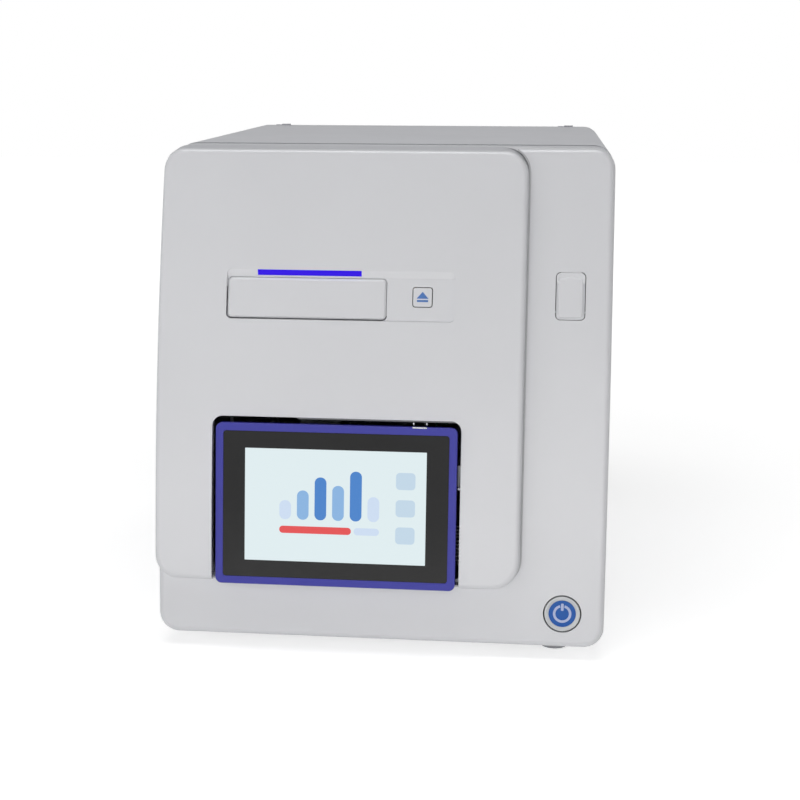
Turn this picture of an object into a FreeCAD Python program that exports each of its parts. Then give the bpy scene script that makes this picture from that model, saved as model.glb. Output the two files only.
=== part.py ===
"""A bench instrument that reads partitioned sample plates, as separate pieces in millimetres.

The part frame has +Z up and the front towards -Y. Its origin is the middle of the floor
under the instrument. Most pieces are drawn in the machine frame: the same directions, with
Y = 0 at the cover's lower front edge and Z = 0 at the cover's underside.
"""
import FreeCAD, Part
import math
import os

import Sketcher
from FreeCAD import Placement, Rotation, Vector

SIZES = (
    ("body_width", 400, "width of the front cover and of the housing"),
    ("body_height", 430, "height of the front cover, without the feet"),
    ("body_depth", 482, "cover's lower front edge to the housing's back edge"),
    ("housing_rise", 0.8, "how far the housing stands above the cover's top"),
    ("shell_corner", 18, "corner radius of the outline seen from the front"),
    ("shell_edge", 6, "rounding of the edge round the front cover's face"),
    ("shell_wall", 3, "wall of the moulded front pieces"),
    ("sheet_wall", 2, "wall of the sheet steel pieces"),
    ("front_radius", 1635, "radius of the front's curve, seen from the side"),
    ("front_setback", 94.5, "how far the front's top lies behind its foot"),
    ("cover_reach", 129, "cover's lower front edge to its seam with the housing"),
    ("seam_gap", 0.6, "gap between the cover and the housing"),
    ("pan_height", 40, "height of the base pan's sides"),
    ("foot_height", 12, "floor to the cover's underside"),
    ("foot_radius", 15, "radius of a foot where it meets the pan"),
    ("foot_taper", 2, "how much smaller a foot's radius is on the floor"),
    ("foot_side", 157, "middle plane to the right front foot and the rear feet"),
    ("foot_left_side", 150, "middle plane to the left front foot"),
    ("foot_front", 40, "cover's lower front edge to the right front foot"),
    ("foot_left_front", 58, "cover's lower front edge to the left front foot"),
    ("foot_rear", 440, "cover's lower front edge to the rear feet"),
    ("fit_gap", 0.3, "clearance between pieces that fit together"),
    ("screw_radius", 2, "shank radius of the panel screws"),
    ("fascia_right", 124.7, "middle plane to the raised panel's right edge"),
    ("fascia_low", 54, "underside of the raised panel"),
    ("fascia_high", 427.7, "top of the raised panel at its front"),
    ("fascia_proud", 12.5, "how far the raised panel stands in front of the cover"),
    ("fascia_seat", 7, "depth of the cover's seat for the raised panel"),
    ("fascia_gap", 1.2, "shadow gap beside and under the raised panel"),
    ("fascia_edge", 5, "rounding of the raised panel's front edge"),
    ("fascia_corner_high", 21, "corner radius at the raised panel's upper right"),
    ("fascia_corner_low", 25, "corner radius at the raised panel's lower right"),
    ("fascia_corner_left", 21, "corner radius at the raised panel's lower left"),
    ("notch_left", -148.1, "left side of the notch round the screen"),
    ("notch_right", 71.9, "right side of the notch round the screen"),
    ("notch_high", 200.2, "top of the notch round the screen"),
    ("notch_corner", 9, "upper corner radius of the notch"),
    ("pocket_left", -138.3, "left side of the recess round the tray"),
    ("pocket_right", 63.3, "right side of the recess round the tray"),
    ("pocket_low", 283.6, "underside of the recess round the tray"),
    ("pocket_high", 326, "top of the recess, where its sloped wall starts"),
    ("pocket_slope", 6.4, "height of the sloped wall over the tray"),
    ("pocket_depth", 2.5, "depth of the recess round the tray"),
    ("pocket_corner", 4.5, "corner radius of the recess"),
    ("light_width", 92, "length of the status light"),
    ("light_middle", -65, "middle plane to the middle of the status light"),
    ("light_height", 4.9, "height of the status light on the sloped wall"),
    ("light_depth", 7, "thickness of the status light's lens"),
    ("tray_gap", 1, "gap round the tray's front panel"),
    ("tray_right", 4.2, "right side of the opening for the tray"),
    ("tray_panel_depth", 9, "thickness of the tray's front panel"),
    ("tray_panel_back", 0.4, "how far the tray's front panel lies behind the raised panel's face"),
    ("tray_travel", 150, "how far the tray slides out"),
    ("tray_length", 256, "length of the tray behind its front panel"),
    ("tray_floor", 288, "underside of the tray"),
    ("tray_thick", 14, "height of the tray's frame"),
    ("tray_web", 4, "thickness of the tray's floor"),
    ("tray_arm", 8, "width of each of the tray's two arms"),
    ("nest_start", 46, "tray's front panel to the plate nest"),
    ("plate_length", 127.76, "long side of the standard plate footprint"),
    ("plate_width", 85.48, "short side of the standard plate footprint"),
    ("nest_gap", 0.5, "clearance between the plate and its nest, each side"),
    ("nest_ledge", 7, "width of the ledge that carries the plate"),
    ("rack_pitch", 3, "distance from tooth to tooth along the rack"),
    ("rack_tooth_gap", 0.3, "play between the rack's and the pinion's teeth"),
    ("rack_height", 7, "height of the rack and of the pinion"),
    ("rack_body", 2.6, "thickness of the rack behind its teeth"),
    ("pinion_place", 153, "cover's lower front edge to the pinion's axis"),
    ("rail_width", 5, "width of a tray rail"),
    ("rail_height", 5, "height of a tray rail"),
    ("runner_width", 13, "width of a runner on a rail"),
    ("runner_length", 24, "length of a runner"),
    ("deck_thick", 3, "thickness of the deck plate"),
    ("deck_drop", 12, "tray's underside to the deck plate"),
    ("eject_size", 16.5, "side of the square eject button"),
    ("eject_x", 35, "middle plane to the eject button"),
    ("eject_z", 304, "height of the eject button's middle"),
    ("eject_gap", 0.7, "gap round the eject button"),
    ("eject_travel", 1.2, "travel of the eject button"),
    ("flap_width", 26.2, "width of the opening for the port flap"),
    ("flap_height", 42.2, "height of the opening for the port flap"),
    ("flap_x", 163.3, "middle plane to the port flap"),
    ("flap_z", 305.6, "height of the port flap's middle"),
    ("flap_corner", 4.5, "corner radius of the port flap's opening"),
    ("flap_gap", 0.6, "gap round the port flap"),
    ("flap_thick", 1.9, "thickness of the port flap and radius of its knuckle"),
    ("flap_pin", 0.7, "radius of the port flap's pin"),
    ("power_x", 163.1, "middle plane to the power button"),
    ("power_z", 31.4, "height of the power button's middle"),
    ("power_radius", 15.8, "radius of the power button"),
    ("power_gap", 1.1, "gap round the power button"),
    ("power_travel", 1.6, "travel of the power button"),
    ("power_disc", 11.9, "radius of the coloured disc on the power button"),
    ("screen_width", 212.6, "width of the screen's frame"),
    ("screen_height", 143.2, "height of the screen's frame along its face"),
    ("screen_x", -37.5, "middle plane to the screen's middle"),
    ("screen_reach", 11, "how far the screen's lower edge stands in front of the cover"),
    ("screen_low", 54, "height of the screen's lower edge"),
    ("screen_lean", 8.4, "lean of the screen's face, in degrees"),
    ("screen_corner", 5.5, "corner radius of the screen's frame"),
    ("screen_rim", 6.7, "width of the frame round the glass"),
    ("screen_frame_depth", 7, "depth of the screen's frame"),
    ("screen_back_depth", 18, "depth of the screen's back housing"),
    ("glass_thick", 1.6, "thickness of the screen's glass"),
    ("glass_back", 0.3, "how far the glass lies behind the frame's face"),
    ("display_width", 160, "width of the lit display"),
    ("display_height", 99.6, "height of the lit display"),
    ("rear_inset", 6, "housing's back edge to the rear panel's face"),
    ("rear_lip", 12, "depth of the rear panel's folded edge"),
    ("fan_size", 92, "side of a fan's frame"),
    ("fan_depth", 25, "depth of a fan's frame"),
    ("fan_bore", 43, "radius of the air passage through a fan"),
    ("fan_hub", 17, "radius of a rotor's hub"),
    ("fan_tip_gap", 1.2, "gap between the blades and the fan's frame"),
    ("blade_half", 7.4, "half the height of a blade across the air flow"),
    ("fan_left", -118, "middle plane to the left fan's axis"),
    ("fan_right", 6, "middle plane to the right fan's axis"),
    ("fan_z", 330, "height of both fans' axes"),
    ("grille_pitch", 8, "distance from slot to slot in a grille"),
    ("grille_slot", 4.4, "height of a grille's slot"),
    ("inlet_width", 28, "width of the mains inlet's opening in the panel"),
    ("inlet_height", 20.4, "height of the mains inlet's opening in the panel"),
    ("inlet_x", 128, "middle plane to the mains inlet"),
    ("inlet_z", 62, "height of the mains inlet"),
    ("switch_width", 28, "width of the mains switch"),
    ("switch_height", 14, "height of the mains switch"),
    ("switch_z", 92, "height of the mains switch"),
    ("switch_throw", 20, "angle between the rocker's two positions, in degrees"),
    ("port_x", 66, "middle plane to the rear data ports"),
    ("port_z", 66, "height of the lowest rear data port"),
    ("block_length", 101, "length of the thermal block's pedestal, across the machine"),
    ("block_width", 65, "width of the thermal block's pedestal"),
    ("block_height", 19.5, "height of the thermal block's pedestal"),
    ("block_lift", 4.6, "how far the thermal block rises to the plate"),
    ("block_drop", 1, "gap between the lowered block and the tray's underside"),
    ("fin_height", 34, "height of the heat sink's fins"),
    ("fin_pitch", 7, "distance from fin to fin"),
    ("fin_thick", 1.6, "thickness of a fin"),
    ("press_travel", 4.6, "how far the press frame comes down on the plate"),
    ("press_rise", 19, "tray's underside plus this is the raised press frame's underside"),
    ("press_thick", 5, "thickness of the press frame"),
    ("hood_front", 6, "height of the imaging hood's front wall"),
    ("hood_reach", 45, "middle of the plate to the hood's front and back walls"),
    ("hood_half", 66, "half the width of the imaging hood"),
    ("hood_low", 313, "underside of the imaging hood"),
    ("hood_wall", 2, "wall of the imaging hood"),
    ("optics_axis", 361, "height of the camera's optical axis"),
    ("wheel_radius", 44, "radius of the filter wheel"),
    ("filter_radius", 11, "radius of a filter's opening in the wheel"),
    ("filter_count", 5, "openings in the filter wheel"),
    ("lens_radius", 17, "radius of the camera's lens"),
    ("frame_left", -152, "middle plane to the left frame plate's outer face"),
    ("frame_right", 34, "middle plane to the right frame plate's outer face"),
    ("frame_front", 104, "cover's lower front edge to the frame plates"),
    ("frame_thick", 3, "thickness of the frame plates"),
    ("frame_high", 408, "top of the frame plates"),
    ("frame_back", 340, "cover's lower front edge to the frame plates' back"),
)


class Size:
    """A number, kept together with the sheet expression that gives it."""

    def __init__(self, value, text):
        self.value = float(value)
        self.text = text

    def __add__(self, other):
        other = as_size(other)
        return Size(self.value + other.value, f"({self.text} + {other.text})")

    def __radd__(self, other):
        return as_size(other) + self

    def __sub__(self, other):
        other = as_size(other)
        return Size(self.value - other.value, f"({self.text} - {other.text})")

    def __rsub__(self, other):
        return as_size(other) - self

    def __mul__(self, other):
        other = as_size(other)
        return Size(self.value * other.value, f"({self.text} * {other.text})")

    def __rmul__(self, other):
        return as_size(other) * self

    def __truediv__(self, other):
        other = as_size(other)
        return Size(self.value / other.value, f"({self.text} / {other.text})")

    def __neg__(self):
        return Size(-self.value, f"(0 - {self.text})")


def as_size(number):
    """Give a plain number the same form as a size from the sheet."""
    if isinstance(number, Size):
        return number
    text = f"{number}" if number >= 0 else f"(0 - {-number})"
    return Size(number, text)


def root(size):
    return Size(math.sqrt(size.value), f"sqrt({size.text})")


def sine(angle):
    return Size(math.sin(math.radians(angle.value)), f"sin({angle.text})")


def cosine(angle):
    return Size(math.cos(math.radians(angle.value)), f"cos({angle.text})")


def arcsine(ratio):
    """The angle in degrees whose sine is the ratio."""
    return Size(math.degrees(math.asin(ratio.value)), f"asin({ratio.text})")


class Sheet:
    """The driving sizes, each one an attribute, in the document's spreadsheet."""

    def __init__(self, document):
        self.cells = document.addObject("Spreadsheet::Sheet", "sizes")
        self.row = 0
        for name, value, note in SIZES:
            self.keep(name, as_size(value), f"{value}", note)

    def keep(self, name, size, content, note):
        self.row += 1
        self.cells.set(f"A{self.row}", name)
        self.cells.set(f"B{self.row}", content)
        self.cells.setAlias(f"B{self.row}", name)
        self.cells.set(f"C{self.row}", note)
        setattr(self, name, Size(size.value, f"sizes.{name}"))

    def derive(self, name, size, note):
        """Add a cell that is worked out from other cells."""
        self.keep(name, size, "=" + size.text.replace("sizes.", ""), note)


doc = FreeCAD.newDocument("plate_reader")
s = Sheet(doc)


def derive_shared_sizes():
    """Work out the places that several pieces share."""
    s.derive("front_line", (s.screen_reach - s.body_depth) / 2, "cover's lower front edge, part frame")
    chord = root(s.body_height * s.body_height + s.front_setback * s.front_setback)
    s.derive("front_chord", chord, "straight length of the front's curve")
    reach = root(s.front_radius * s.front_radius - s.front_chord * s.front_chord / 4)
    s.derive("front_reach", reach, "middle of the chord to the curve's centre")
    centre_y = s.front_setback / 2 + s.front_reach * s.body_height / s.front_chord
    s.derive("curve_y", centre_y, "centre of the front's curve")
    centre_z = s.body_height / 2 - s.front_reach * s.front_setback / s.front_chord
    s.derive("curve_z", centre_z, "centre of the front's curve")
    s.derive("housing_front", s.cover_reach + s.seam_gap, "front edge of the housing")
    s.derive("housing_top", s.body_height + s.housing_rise, "top of the housing")
    s.derive("rear_face", s.body_depth - s.rear_inset, "outer face of the rear panel")
    s.derive("tray_x", (s.pocket_left + s.tray_right) / 2, "middle of the tray")
    s.derive("tray_width", s.tray_right - s.pocket_left - 8, "width of the tray behind its panel")
    s.derive("tray_open_high", s.pocket_high - s.pocket_slope, "top of the opening for the tray")
    s.derive("nest_length", s.plate_length + 2 * s.nest_gap, "nest, across the machine")
    s.derive("nest_width", s.plate_width + 2 * s.nest_gap, "nest, along the machine")
    s.derive("tray_middle", s.tray_x - 1.5, "middle of the tray's frame")
    s.derive("tray_start", front_y(s.tray_open_high) - s.fascia_proud + s.tray_panel_depth,
             "front end of the tray's frame")
    s.derive("plate_y", s.tray_start + s.nest_start + s.nest_width / 2, "middle of the plate")
    s.derive("deck_top", s.tray_floor - s.deck_drop, "upper face of the deck plate")
    s.derive("deck_front", front_y(s.deck_top) + s.fascia_seat + s.shell_wall + s.fit_gap,
             "front edge of the deck plate")
    s.derive("block_top", s.tray_floor - s.block_drop, "top of the lowered thermal block")
    s.derive("hood_rear", s.plate_y + s.hood_reach, "back face of the imaging hood")
    s.derive("wheel_offset", s.wheel_radius - s.filter_radius - 3, "filter wheel's axis to a filter")
    s.derive("pinion_radius", s.rack_pitch * 18 / 6.2831853, "pitch radius of the pinion")
    s.derive("pinion_x", s.tray_middle + s.tray_width / 2 + s.rack_body + s.rack_pitch * 0.3979 + s.pinion_radius,
             "axis of the pinion")


def front_y(height):
    """Y of the cover's face at a height, in the machine frame."""
    rise = height - s.curve_z
    return s.curve_y - root(s.front_radius * s.front_radius - rise * rise)


def lean_at(height):
    """Lean of the cover's face at a height, in degrees from upright."""
    return arcsine((height - s.curve_z) / s.front_radius)


derive_shared_sizes()


# Building blocks for bodies, sketches and features.


def bind(target, path, size):
    target.setExpression(path, as_size(size).text)


def place(part, x=0, y=0, z=0, axis=None, angle=None):
    """Put a piece at a point of the machine frame, turned about an axis by an angle."""
    y = y + s.front_line
    z = z + s.foot_height
    if axis is None:
        part.Placement = Placement(Vector(as_size(x).value, y.value, z.value), Rotation())
    else:
        turn = Rotation(Vector(*axis), 10)
        part.Placement = Placement(Vector(as_size(x).value, y.value, z.value), turn)
        bind(part, "Placement.Rotation.Angle", angle)
    bind(part, "Placement.Base.x", x)
    bind(part, "Placement.Base.y", y)
    bind(part, "Placement.Base.z", z)
    return part


def new_body(label, x=0, y=0, z=0, axis=None, angle=None):
    part = doc.addObject("PartDesign::Body", label)
    part.Label = label
    return place(part, x, y, z, axis, angle)


def leaning_body(label, x, height, depth=0):
    """A body whose own XZ plane lies in the cover's face at a height, or behind it."""
    lean = lean_at(height)
    y = front_y(height) + depth * cosine(lean)
    z = height - depth * sine(lean)
    return new_body(label, x, y, z, (-1, 0, 0), lean)


def origin_item(part, role):
    for item in part.Origin.OriginFeatures:
        if item.Role == role:
            return item
    raise ValueError(role)


def new_sketch(part, plane, level):
    """A sketch on a plane of the body's origin; level is its place on the third axis."""
    sketch = part.newObject("Sketcher::SketchObject", f"{part.Name}_outline")
    sketch.AttachmentSupport = [(origin_item(part, f"{plane}_Plane"), "")]
    sketch.MapMode = "FlatFace"
    level = as_size(level)
    offset = -level if plane == "XZ" else level
    sketch.AttachmentOffset = Placement(Vector(0, 0, offset.value), Rotation())
    bind(sketch, "AttachmentOffset.Base.z", offset)
    return sketch


def fix(sketch, kind, *arguments):
    """Add a dimension to a sketch and bind it to its size."""
    size = as_size(arguments[-1])
    index = sketch.addConstraint(Sketcher.Constraint(kind, *arguments[:-1], size.value))
    sketch.setExpression(f"Constraints[{index}]", size.text)


def polygon(sketch, points):
    """A closed outline with straight sides through the points."""
    points = [(as_size(x), as_size(y)) for x, y in points]
    sides = []
    for start, end in zip(points, points[1:] + points[:1]):
        line = Part.LineSegment(Vector(start[0].value, start[1].value, 0),
                                Vector(end[0].value, end[1].value, 0))
        sides.append(sketch.addGeometry(line, False))
    for side, follower, point in zip(sides, sides[1:] + sides[:1], points):
        sketch.addConstraint(Sketcher.Constraint("Coincident", side, 2, follower, 1))
        fix(sketch, "DistanceX", side, 1, point[0])
        fix(sketch, "DistanceY", side, 1, point[1])


def rectangle(sketch, x, y, width, height):
    left = x - as_size(width) / 2
    right = x + as_size(width) / 2
    low = y - as_size(height) / 2
    high = y + as_size(height) / 2
    polygon(sketch, [(left, low), (right, low), (right, high), (left, high)])


def rounded(sketch, x, y, width, height, radius):
    """A rectangle with round corners, centred on a point."""
    half_width = as_size(width) / 2
    half_height = as_size(height) / 2
    radius = as_size(radius)
    x = as_size(x)
    y = as_size(y)
    arcs = []
    for across, up, start in ((1, 1, 0), (-1, 1, 90), (-1, -1, 180), (1, -1, 270)):
        centre = Vector((x + across * (half_width - radius)).value,
                        (y + up * (half_height - radius)).value, 0)
        circle = Part.Circle(centre, Vector(0, 0, 1), radius.value)
        first = math.radians(start)
        arcs.append(sketch.addGeometry(Part.ArcOfCircle(circle, first, first + math.pi / 2), False))
    lines = []
    for arc, follower in zip(arcs, arcs[1:] + arcs[:1]):
        start = sketch.getPoint(arc, 2)
        end = sketch.getPoint(follower, 1)
        lines.append(sketch.addGeometry(Part.LineSegment(start, end), False))
    for line, arc, follower in zip(lines, arcs, arcs[1:] + arcs[:1]):
        sketch.addConstraint(Sketcher.Constraint("Tangent", arc, 2, line, 1))
        sketch.addConstraint(Sketcher.Constraint("Tangent", line, 2, follower, 1))
    for arc in arcs[1:]:
        sketch.addConstraint(Sketcher.Constraint("Equal", arcs[0], arc))
    for line in (lines[0], lines[2]):
        sketch.addConstraint(Sketcher.Constraint("Horizontal", line))
    for line in (lines[1], lines[3]):
        sketch.addConstraint(Sketcher.Constraint("Vertical", line))
    fix(sketch, "Radius", arcs[0], radius)
    fix(sketch, "DistanceY", lines[0], 1, y + half_height)
    fix(sketch, "DistanceX", lines[1], 1, x - half_width)
    fix(sketch, "DistanceY", lines[2], 1, y - half_height)
    fix(sketch, "DistanceX", lines[3], 1, x + half_width)


def circle(sketch, x, y, radius):
    x = as_size(x)
    y = as_size(y)
    radius = as_size(radius)
    shape = Part.Circle(Vector(x.value, y.value, 0), Vector(0, 0, 1), radius.value)
    index = sketch.addGeometry(shape, False)
    fix(sketch, "DistanceX", index, 3, x)
    fix(sketch, "DistanceY", index, 3, y)
    fix(sketch, "Radius", index, radius)


def draw(sketch, shape):
    """Draw one outline that is given as its function followed by its sizes."""
    shape[0](sketch, *shape[1:])


def pad(part, plane, level, length, *shapes):
    """Add material from a level towards the plane's positive axis."""
    sketch = new_sketch(part, plane, level)
    for shape in shapes:
        draw(sketch, shape)
    feature = part.newObject("PartDesign::Pad", f"{part.Name}_pad")
    feature.Profile = sketch
    feature.Length = as_size(length).value
    bind(feature, "Length", length)
    feature.Reversed = plane == "XZ"
    return feature


def cut(part, plane, level, length, *shapes):
    """Take material away from a level towards the plane's positive axis."""
    sketch = new_sketch(part, plane, level)
    for shape in shapes:
        draw(sketch, shape)
    feature = part.newObject("PartDesign::Pocket", f"{part.Name}_pocket")
    feature.Profile = sketch
    feature.Length = as_size(length).value
    bind(feature, "Length", length)
    feature.Reversed = plane != "XZ"
    return feature


def revolve(part, plane, shape, axis):
    """Turn a closed outline once round an axis of the body's origin."""
    sketch = new_sketch(part, plane, 0)
    draw(sketch, shape)
    feature = part.newObject("PartDesign::Revolution", f"{part.Name}_turned")
    feature.Profile = sketch
    feature.ReferenceAxis = (origin_item(part, f"{axis}_Axis"), [""])
    feature.Angle = 360
    return feature


def repeat_line(part, feature, axis, step, count):
    """Copy a feature along an axis of the body's origin."""
    pattern = part.newObject("PartDesign::LinearPattern", f"{part.Name}_row")
    pattern.Originals = [feature]
    pattern.Direction = (origin_item(part, f"{axis}_Axis"), [""])
    pattern.Occurrences = count
    pattern.Length = (as_size(step) * (count - 1)).value
    bind(pattern, "Length", as_size(step) * (count - 1))
    part.Tip = pattern
    return pattern


def repeat_round(part, feature, axis, count):
    """Copy a feature evenly round an axis of the body's origin."""
    pattern = part.newObject("PartDesign::PolarPattern", f"{part.Name}_ring")
    pattern.Originals = [feature]
    pattern.Axis = (origin_item(part, f"{axis}_Axis"), [""])
    pattern.Occurrences = int(as_size(count).value)
    bind(pattern, "Occurrences", count)
    pattern.Angle = 360
    part.Tip = pattern
    return pattern


def edges_where(part, test):
    """Names of the edges of the body's last feature that pass a test."""
    doc.recompute()
    edges = part.Tip.Shape.Edges
    return [f"Edge{number}" for number, edge in enumerate(edges, 1) if test(edge)]


def round_edges(part, radius, test):
    names = edges_where(part, test)
    base = part.Tip
    feature = part.newObject("PartDesign::Fillet", f"{part.Name}_round")
    feature.Base = (base, names)
    feature.Radius = as_size(radius).value
    bind(feature, "Radius", radius)
    part.Tip = feature
    return feature


def bevel_edges(part, size, test):
    names = edges_where(part, test)
    base = part.Tip
    feature = part.newObject("PartDesign::Chamfer", f"{part.Name}_bevel")
    feature.Base = (base, names)
    feature.Size = as_size(size).value
    bind(feature, "Size", size)
    part.Tip = feature
    return feature


def spans(edge, axis):
    """Length of an edge's box along an axis: 0 for X, 1 for Y, 2 for Z."""
    box = edge.BoundBox
    return (box.XLength, box.YLength, box.ZLength)[axis]


def middle(edge, axis):
    box = edge.BoundBox
    return (box.Center.x, box.Center.y, box.Center.z)[axis]


def lies_in(axis, level):
    """A test for edges that lie flat at a level of an axis."""
    def test(edge):
        return spans(edge, axis) < 0.01 and abs(middle(edge, axis) - as_size(level).value) < 0.05
    return test


def subtract(label, base, *tools):
    """A piece that is a base less one or more tools."""
    tool = tools[0]
    if len(tools) > 1:
        tool = doc.addObject("Part::MultiFuse", f"{label}_tools")
        tool.Shapes = list(tools)
    piece = doc.addObject("Part::Cut", label)
    piece.Label = label
    piece.Base = base
    piece.Tool = tool
    return piece


def join(label, *pieces):
    piece = doc.addObject("Part::MultiFuse", label)
    piece.Label = label
    piece.Shapes = list(pieces)
    return piece


def gather(label, *pieces):
    """Several separate solids of one kind, kept together."""
    piece = doc.addObject("Part::Compound", label)
    piece.Label = label
    piece.Links = list(pieces)
    return piece


# The front: cover, raised panel and what they carry.


def leaning_profile(sketch, low, high, shift, far_low, far_high):
    """Side view of a block with one face on the cover's curve, moved back by a shift.

    far_low and far_high are the (y, z) corners of its opposite face.
    """
    low = as_size(low)
    high = as_size(high)
    near_low = (front_y(low) + shift, low)
    near_high = (front_y(high) + shift, high)
    far_low = (as_size(far_low[0]), as_size(far_low[1]))
    far_high = (as_size(far_high[0]), as_size(far_high[1]))
    corners = [near_high, far_high, far_low, near_low]
    sides = []
    for start, end in zip(corners, corners[1:]):
        line = Part.LineSegment(Vector(start[0].value, start[1].value, 0),
                                Vector(end[0].value, end[1].value, 0))
        sides.append(sketch.addGeometry(line, False))
    centre = Vector((s.curve_y + shift).value, s.curve_z.value, 0)
    angles = [math.pi - math.asin((level - s.curve_z).value / s.front_radius.value)
              for level in (high, low)]
    curve = Part.ArcOfCircle(Part.Circle(centre, Vector(0, 0, 1), s.front_radius.value), *angles)
    arc = sketch.addGeometry(curve, False)
    for side, follower in zip(sides, sides[1:]):
        sketch.addConstraint(Sketcher.Constraint("Coincident", side, 2, follower, 1))
    sketch.addConstraint(Sketcher.Constraint("Coincident", sides[0], 1, arc, 1))
    sketch.addConstraint(Sketcher.Constraint("Coincident", sides[2], 2, arc, 2))
    for side, corner in zip(sides, corners):
        fix(sketch, "DistanceX", side, 1, corner[0])
        fix(sketch, "DistanceY", side, 1, corner[1])
    fix(sketch, "DistanceX", sides[2], 2, near_low[0])
    fix(sketch, "DistanceY", sides[2], 2, near_low[1])
    fix(sketch, "Radius", arc, s.front_radius)


def leaning_block(label, left, right, low, high, shift, far_low, far_high):
    part = new_body(label)
    pad(part, "YZ", left, right - left, (leaning_profile, low, high, shift, far_low, far_high))
    return part


def on_curved_face(shift):
    """A test for edges that lie on the cover's curve, moved back by a shift."""
    def test(edge):
        first, last = edge.ParameterRange
        for point in (edge.valueAt(first), edge.valueAt(last)):
            rise = point.z - s.curve_z.value
            face = s.curve_y.value - math.sqrt(s.front_radius.value ** 2 - rise ** 2)
            if abs(point.y - face - as_size(shift).value) > 0.02:
                return False
        return True
    return test


def corner_edge(across, low, high=None):
    """A test for edges that run back from the face at one side, between two heights."""
    low = as_size(low).value - 0.02
    high = low + 0.04 if high is None else as_size(high).value + 0.02

    def test(edge):
        box = edge.BoundBox
        beside = abs(box.XMin - across.value) < 0.02 and box.XLength < 0.02
        return beside and box.ZMin >= low and box.ZMax <= high and box.YLength > 5
    return test


def front_cover():
    half = s.body_width / 2
    wall = s.shell_wall
    outside = leaning_block("cover_outside", -half, half, 0, s.body_height, as_size(0),
                            (s.cover_reach, 0), (s.cover_reach, s.body_height))
    for across in (-half, half):
        for height in (as_size(0), s.body_height):
            round_edges(outside, s.shell_corner, corner_edge(across, height))
    round_edges(outside, s.shell_edge, on_curved_face(0))
    back = s.cover_reach + 1
    inside = leaning_block("cover_inside", wall - half, half - wall, wall, s.body_height - wall,
                           wall, (back, wall), (back, s.body_height - wall))
    for across in (wall - half, half - wall):
        for height in (wall, s.body_height - wall):
            round_edges(inside, s.shell_corner - wall, corner_edge(across, height))
    seat = fascia_space("fascia_space", as_size(0))
    hollow = subtract("cover_hollow", inside, fascia_space("seat_wall_space", wall))
    return subtract("front_cover", outside, hollow, seat, screen_window(), tray_window(),
                    button_window(), power_hole(), flap_hole(), flap_pin_hole())


def fascia_space(label, wall):
    """The space in front of the cover's seat for the raised panel, grown by a wall."""
    left = -s.body_width / 2 - s.fascia_gap - wall
    right = s.fascia_right + s.fascia_gap + wall
    low = s.fascia_low - s.fascia_gap - wall
    high = s.body_height + wall
    part = leaning_block(label, left, right, low, high, s.fascia_seat + wall,
                         (as_size(-60), low), (as_size(-60), high))
    round_edges(part, s.fascia_corner_high + s.fascia_gap + wall, corner_edge(right, high))
    round_edges(part, s.fascia_corner_low + s.fascia_gap + wall, corner_edge(right, low))
    round_edges(part, s.fascia_corner_left + s.fascia_gap + wall, corner_edge(left, low))
    return part


def through_front(label, *shapes):
    """A tool that cuts its outlines through the front, straight back."""
    part = new_body(label)
    pad(part, "XZ", -40, 160, *shapes)
    return part


def screen_window():
    spare = s.shell_wall
    left = s.notch_left - spare
    right = s.notch_right + spare
    low = s.screen_low + 2
    high = s.notch_high + spare
    return through_front("screen_window", (rounded, (left + right) / 2, (low + high) / 2,
                                           right - left, high - low, s.notch_corner))


def tray_window():
    spare = s.shell_wall
    left = s.pocket_left - spare
    right = s.tray_right + spare
    low = s.pocket_low - spare
    high = s.tray_open_high + spare
    return through_front("tray_window", (rectangle, (left + right) / 2, (low + high) / 2,
                                         right - left, high - low))


def button_window():
    side = s.eject_size + 6 * s.shell_wall
    return through_front("button_window", (rectangle, s.eject_x, s.eject_z, side, side))


def power_hole():
    part = leaning_body("power_hole", s.power_x, s.power_z)
    pad(part, "XZ", -10, 30, (circle, 0, 0, s.power_radius + s.power_gap))
    return part


def flap_hole():
    part = leaning_body("flap_hole", s.flap_x, s.flap_z)
    pad(part, "XZ", -10, 30, (rounded, 0, 0, s.flap_width, s.flap_height, s.flap_corner))
    return part


def flap_pin_hole():
    part = leaning_body("flap_pin_hole", s.flap_x, s.flap_z)
    length = s.flap_width + 2 * s.shell_wall
    pad(part, "YZ", -length / 2, length, (circle, flap_axis()[0], flap_axis()[1], s.flap_pin + 0.02))
    return part


def flap_axis():
    """The flap's pin, in the flap's own frame: depth and height.

    It lies above the opening's round corners, so the open flap has the opening's full width.
    """
    bottom = -s.flap_height / 2 + s.flap_corner + 1.5 * s.flap_gap
    return s.flap_thick + s.flap_gap, bottom + s.flap_thick


def face_y(height, depth):
    """Y of a point at a depth under the raised panel's face."""
    return front_y(height) - s.fascia_proud + depth


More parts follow.
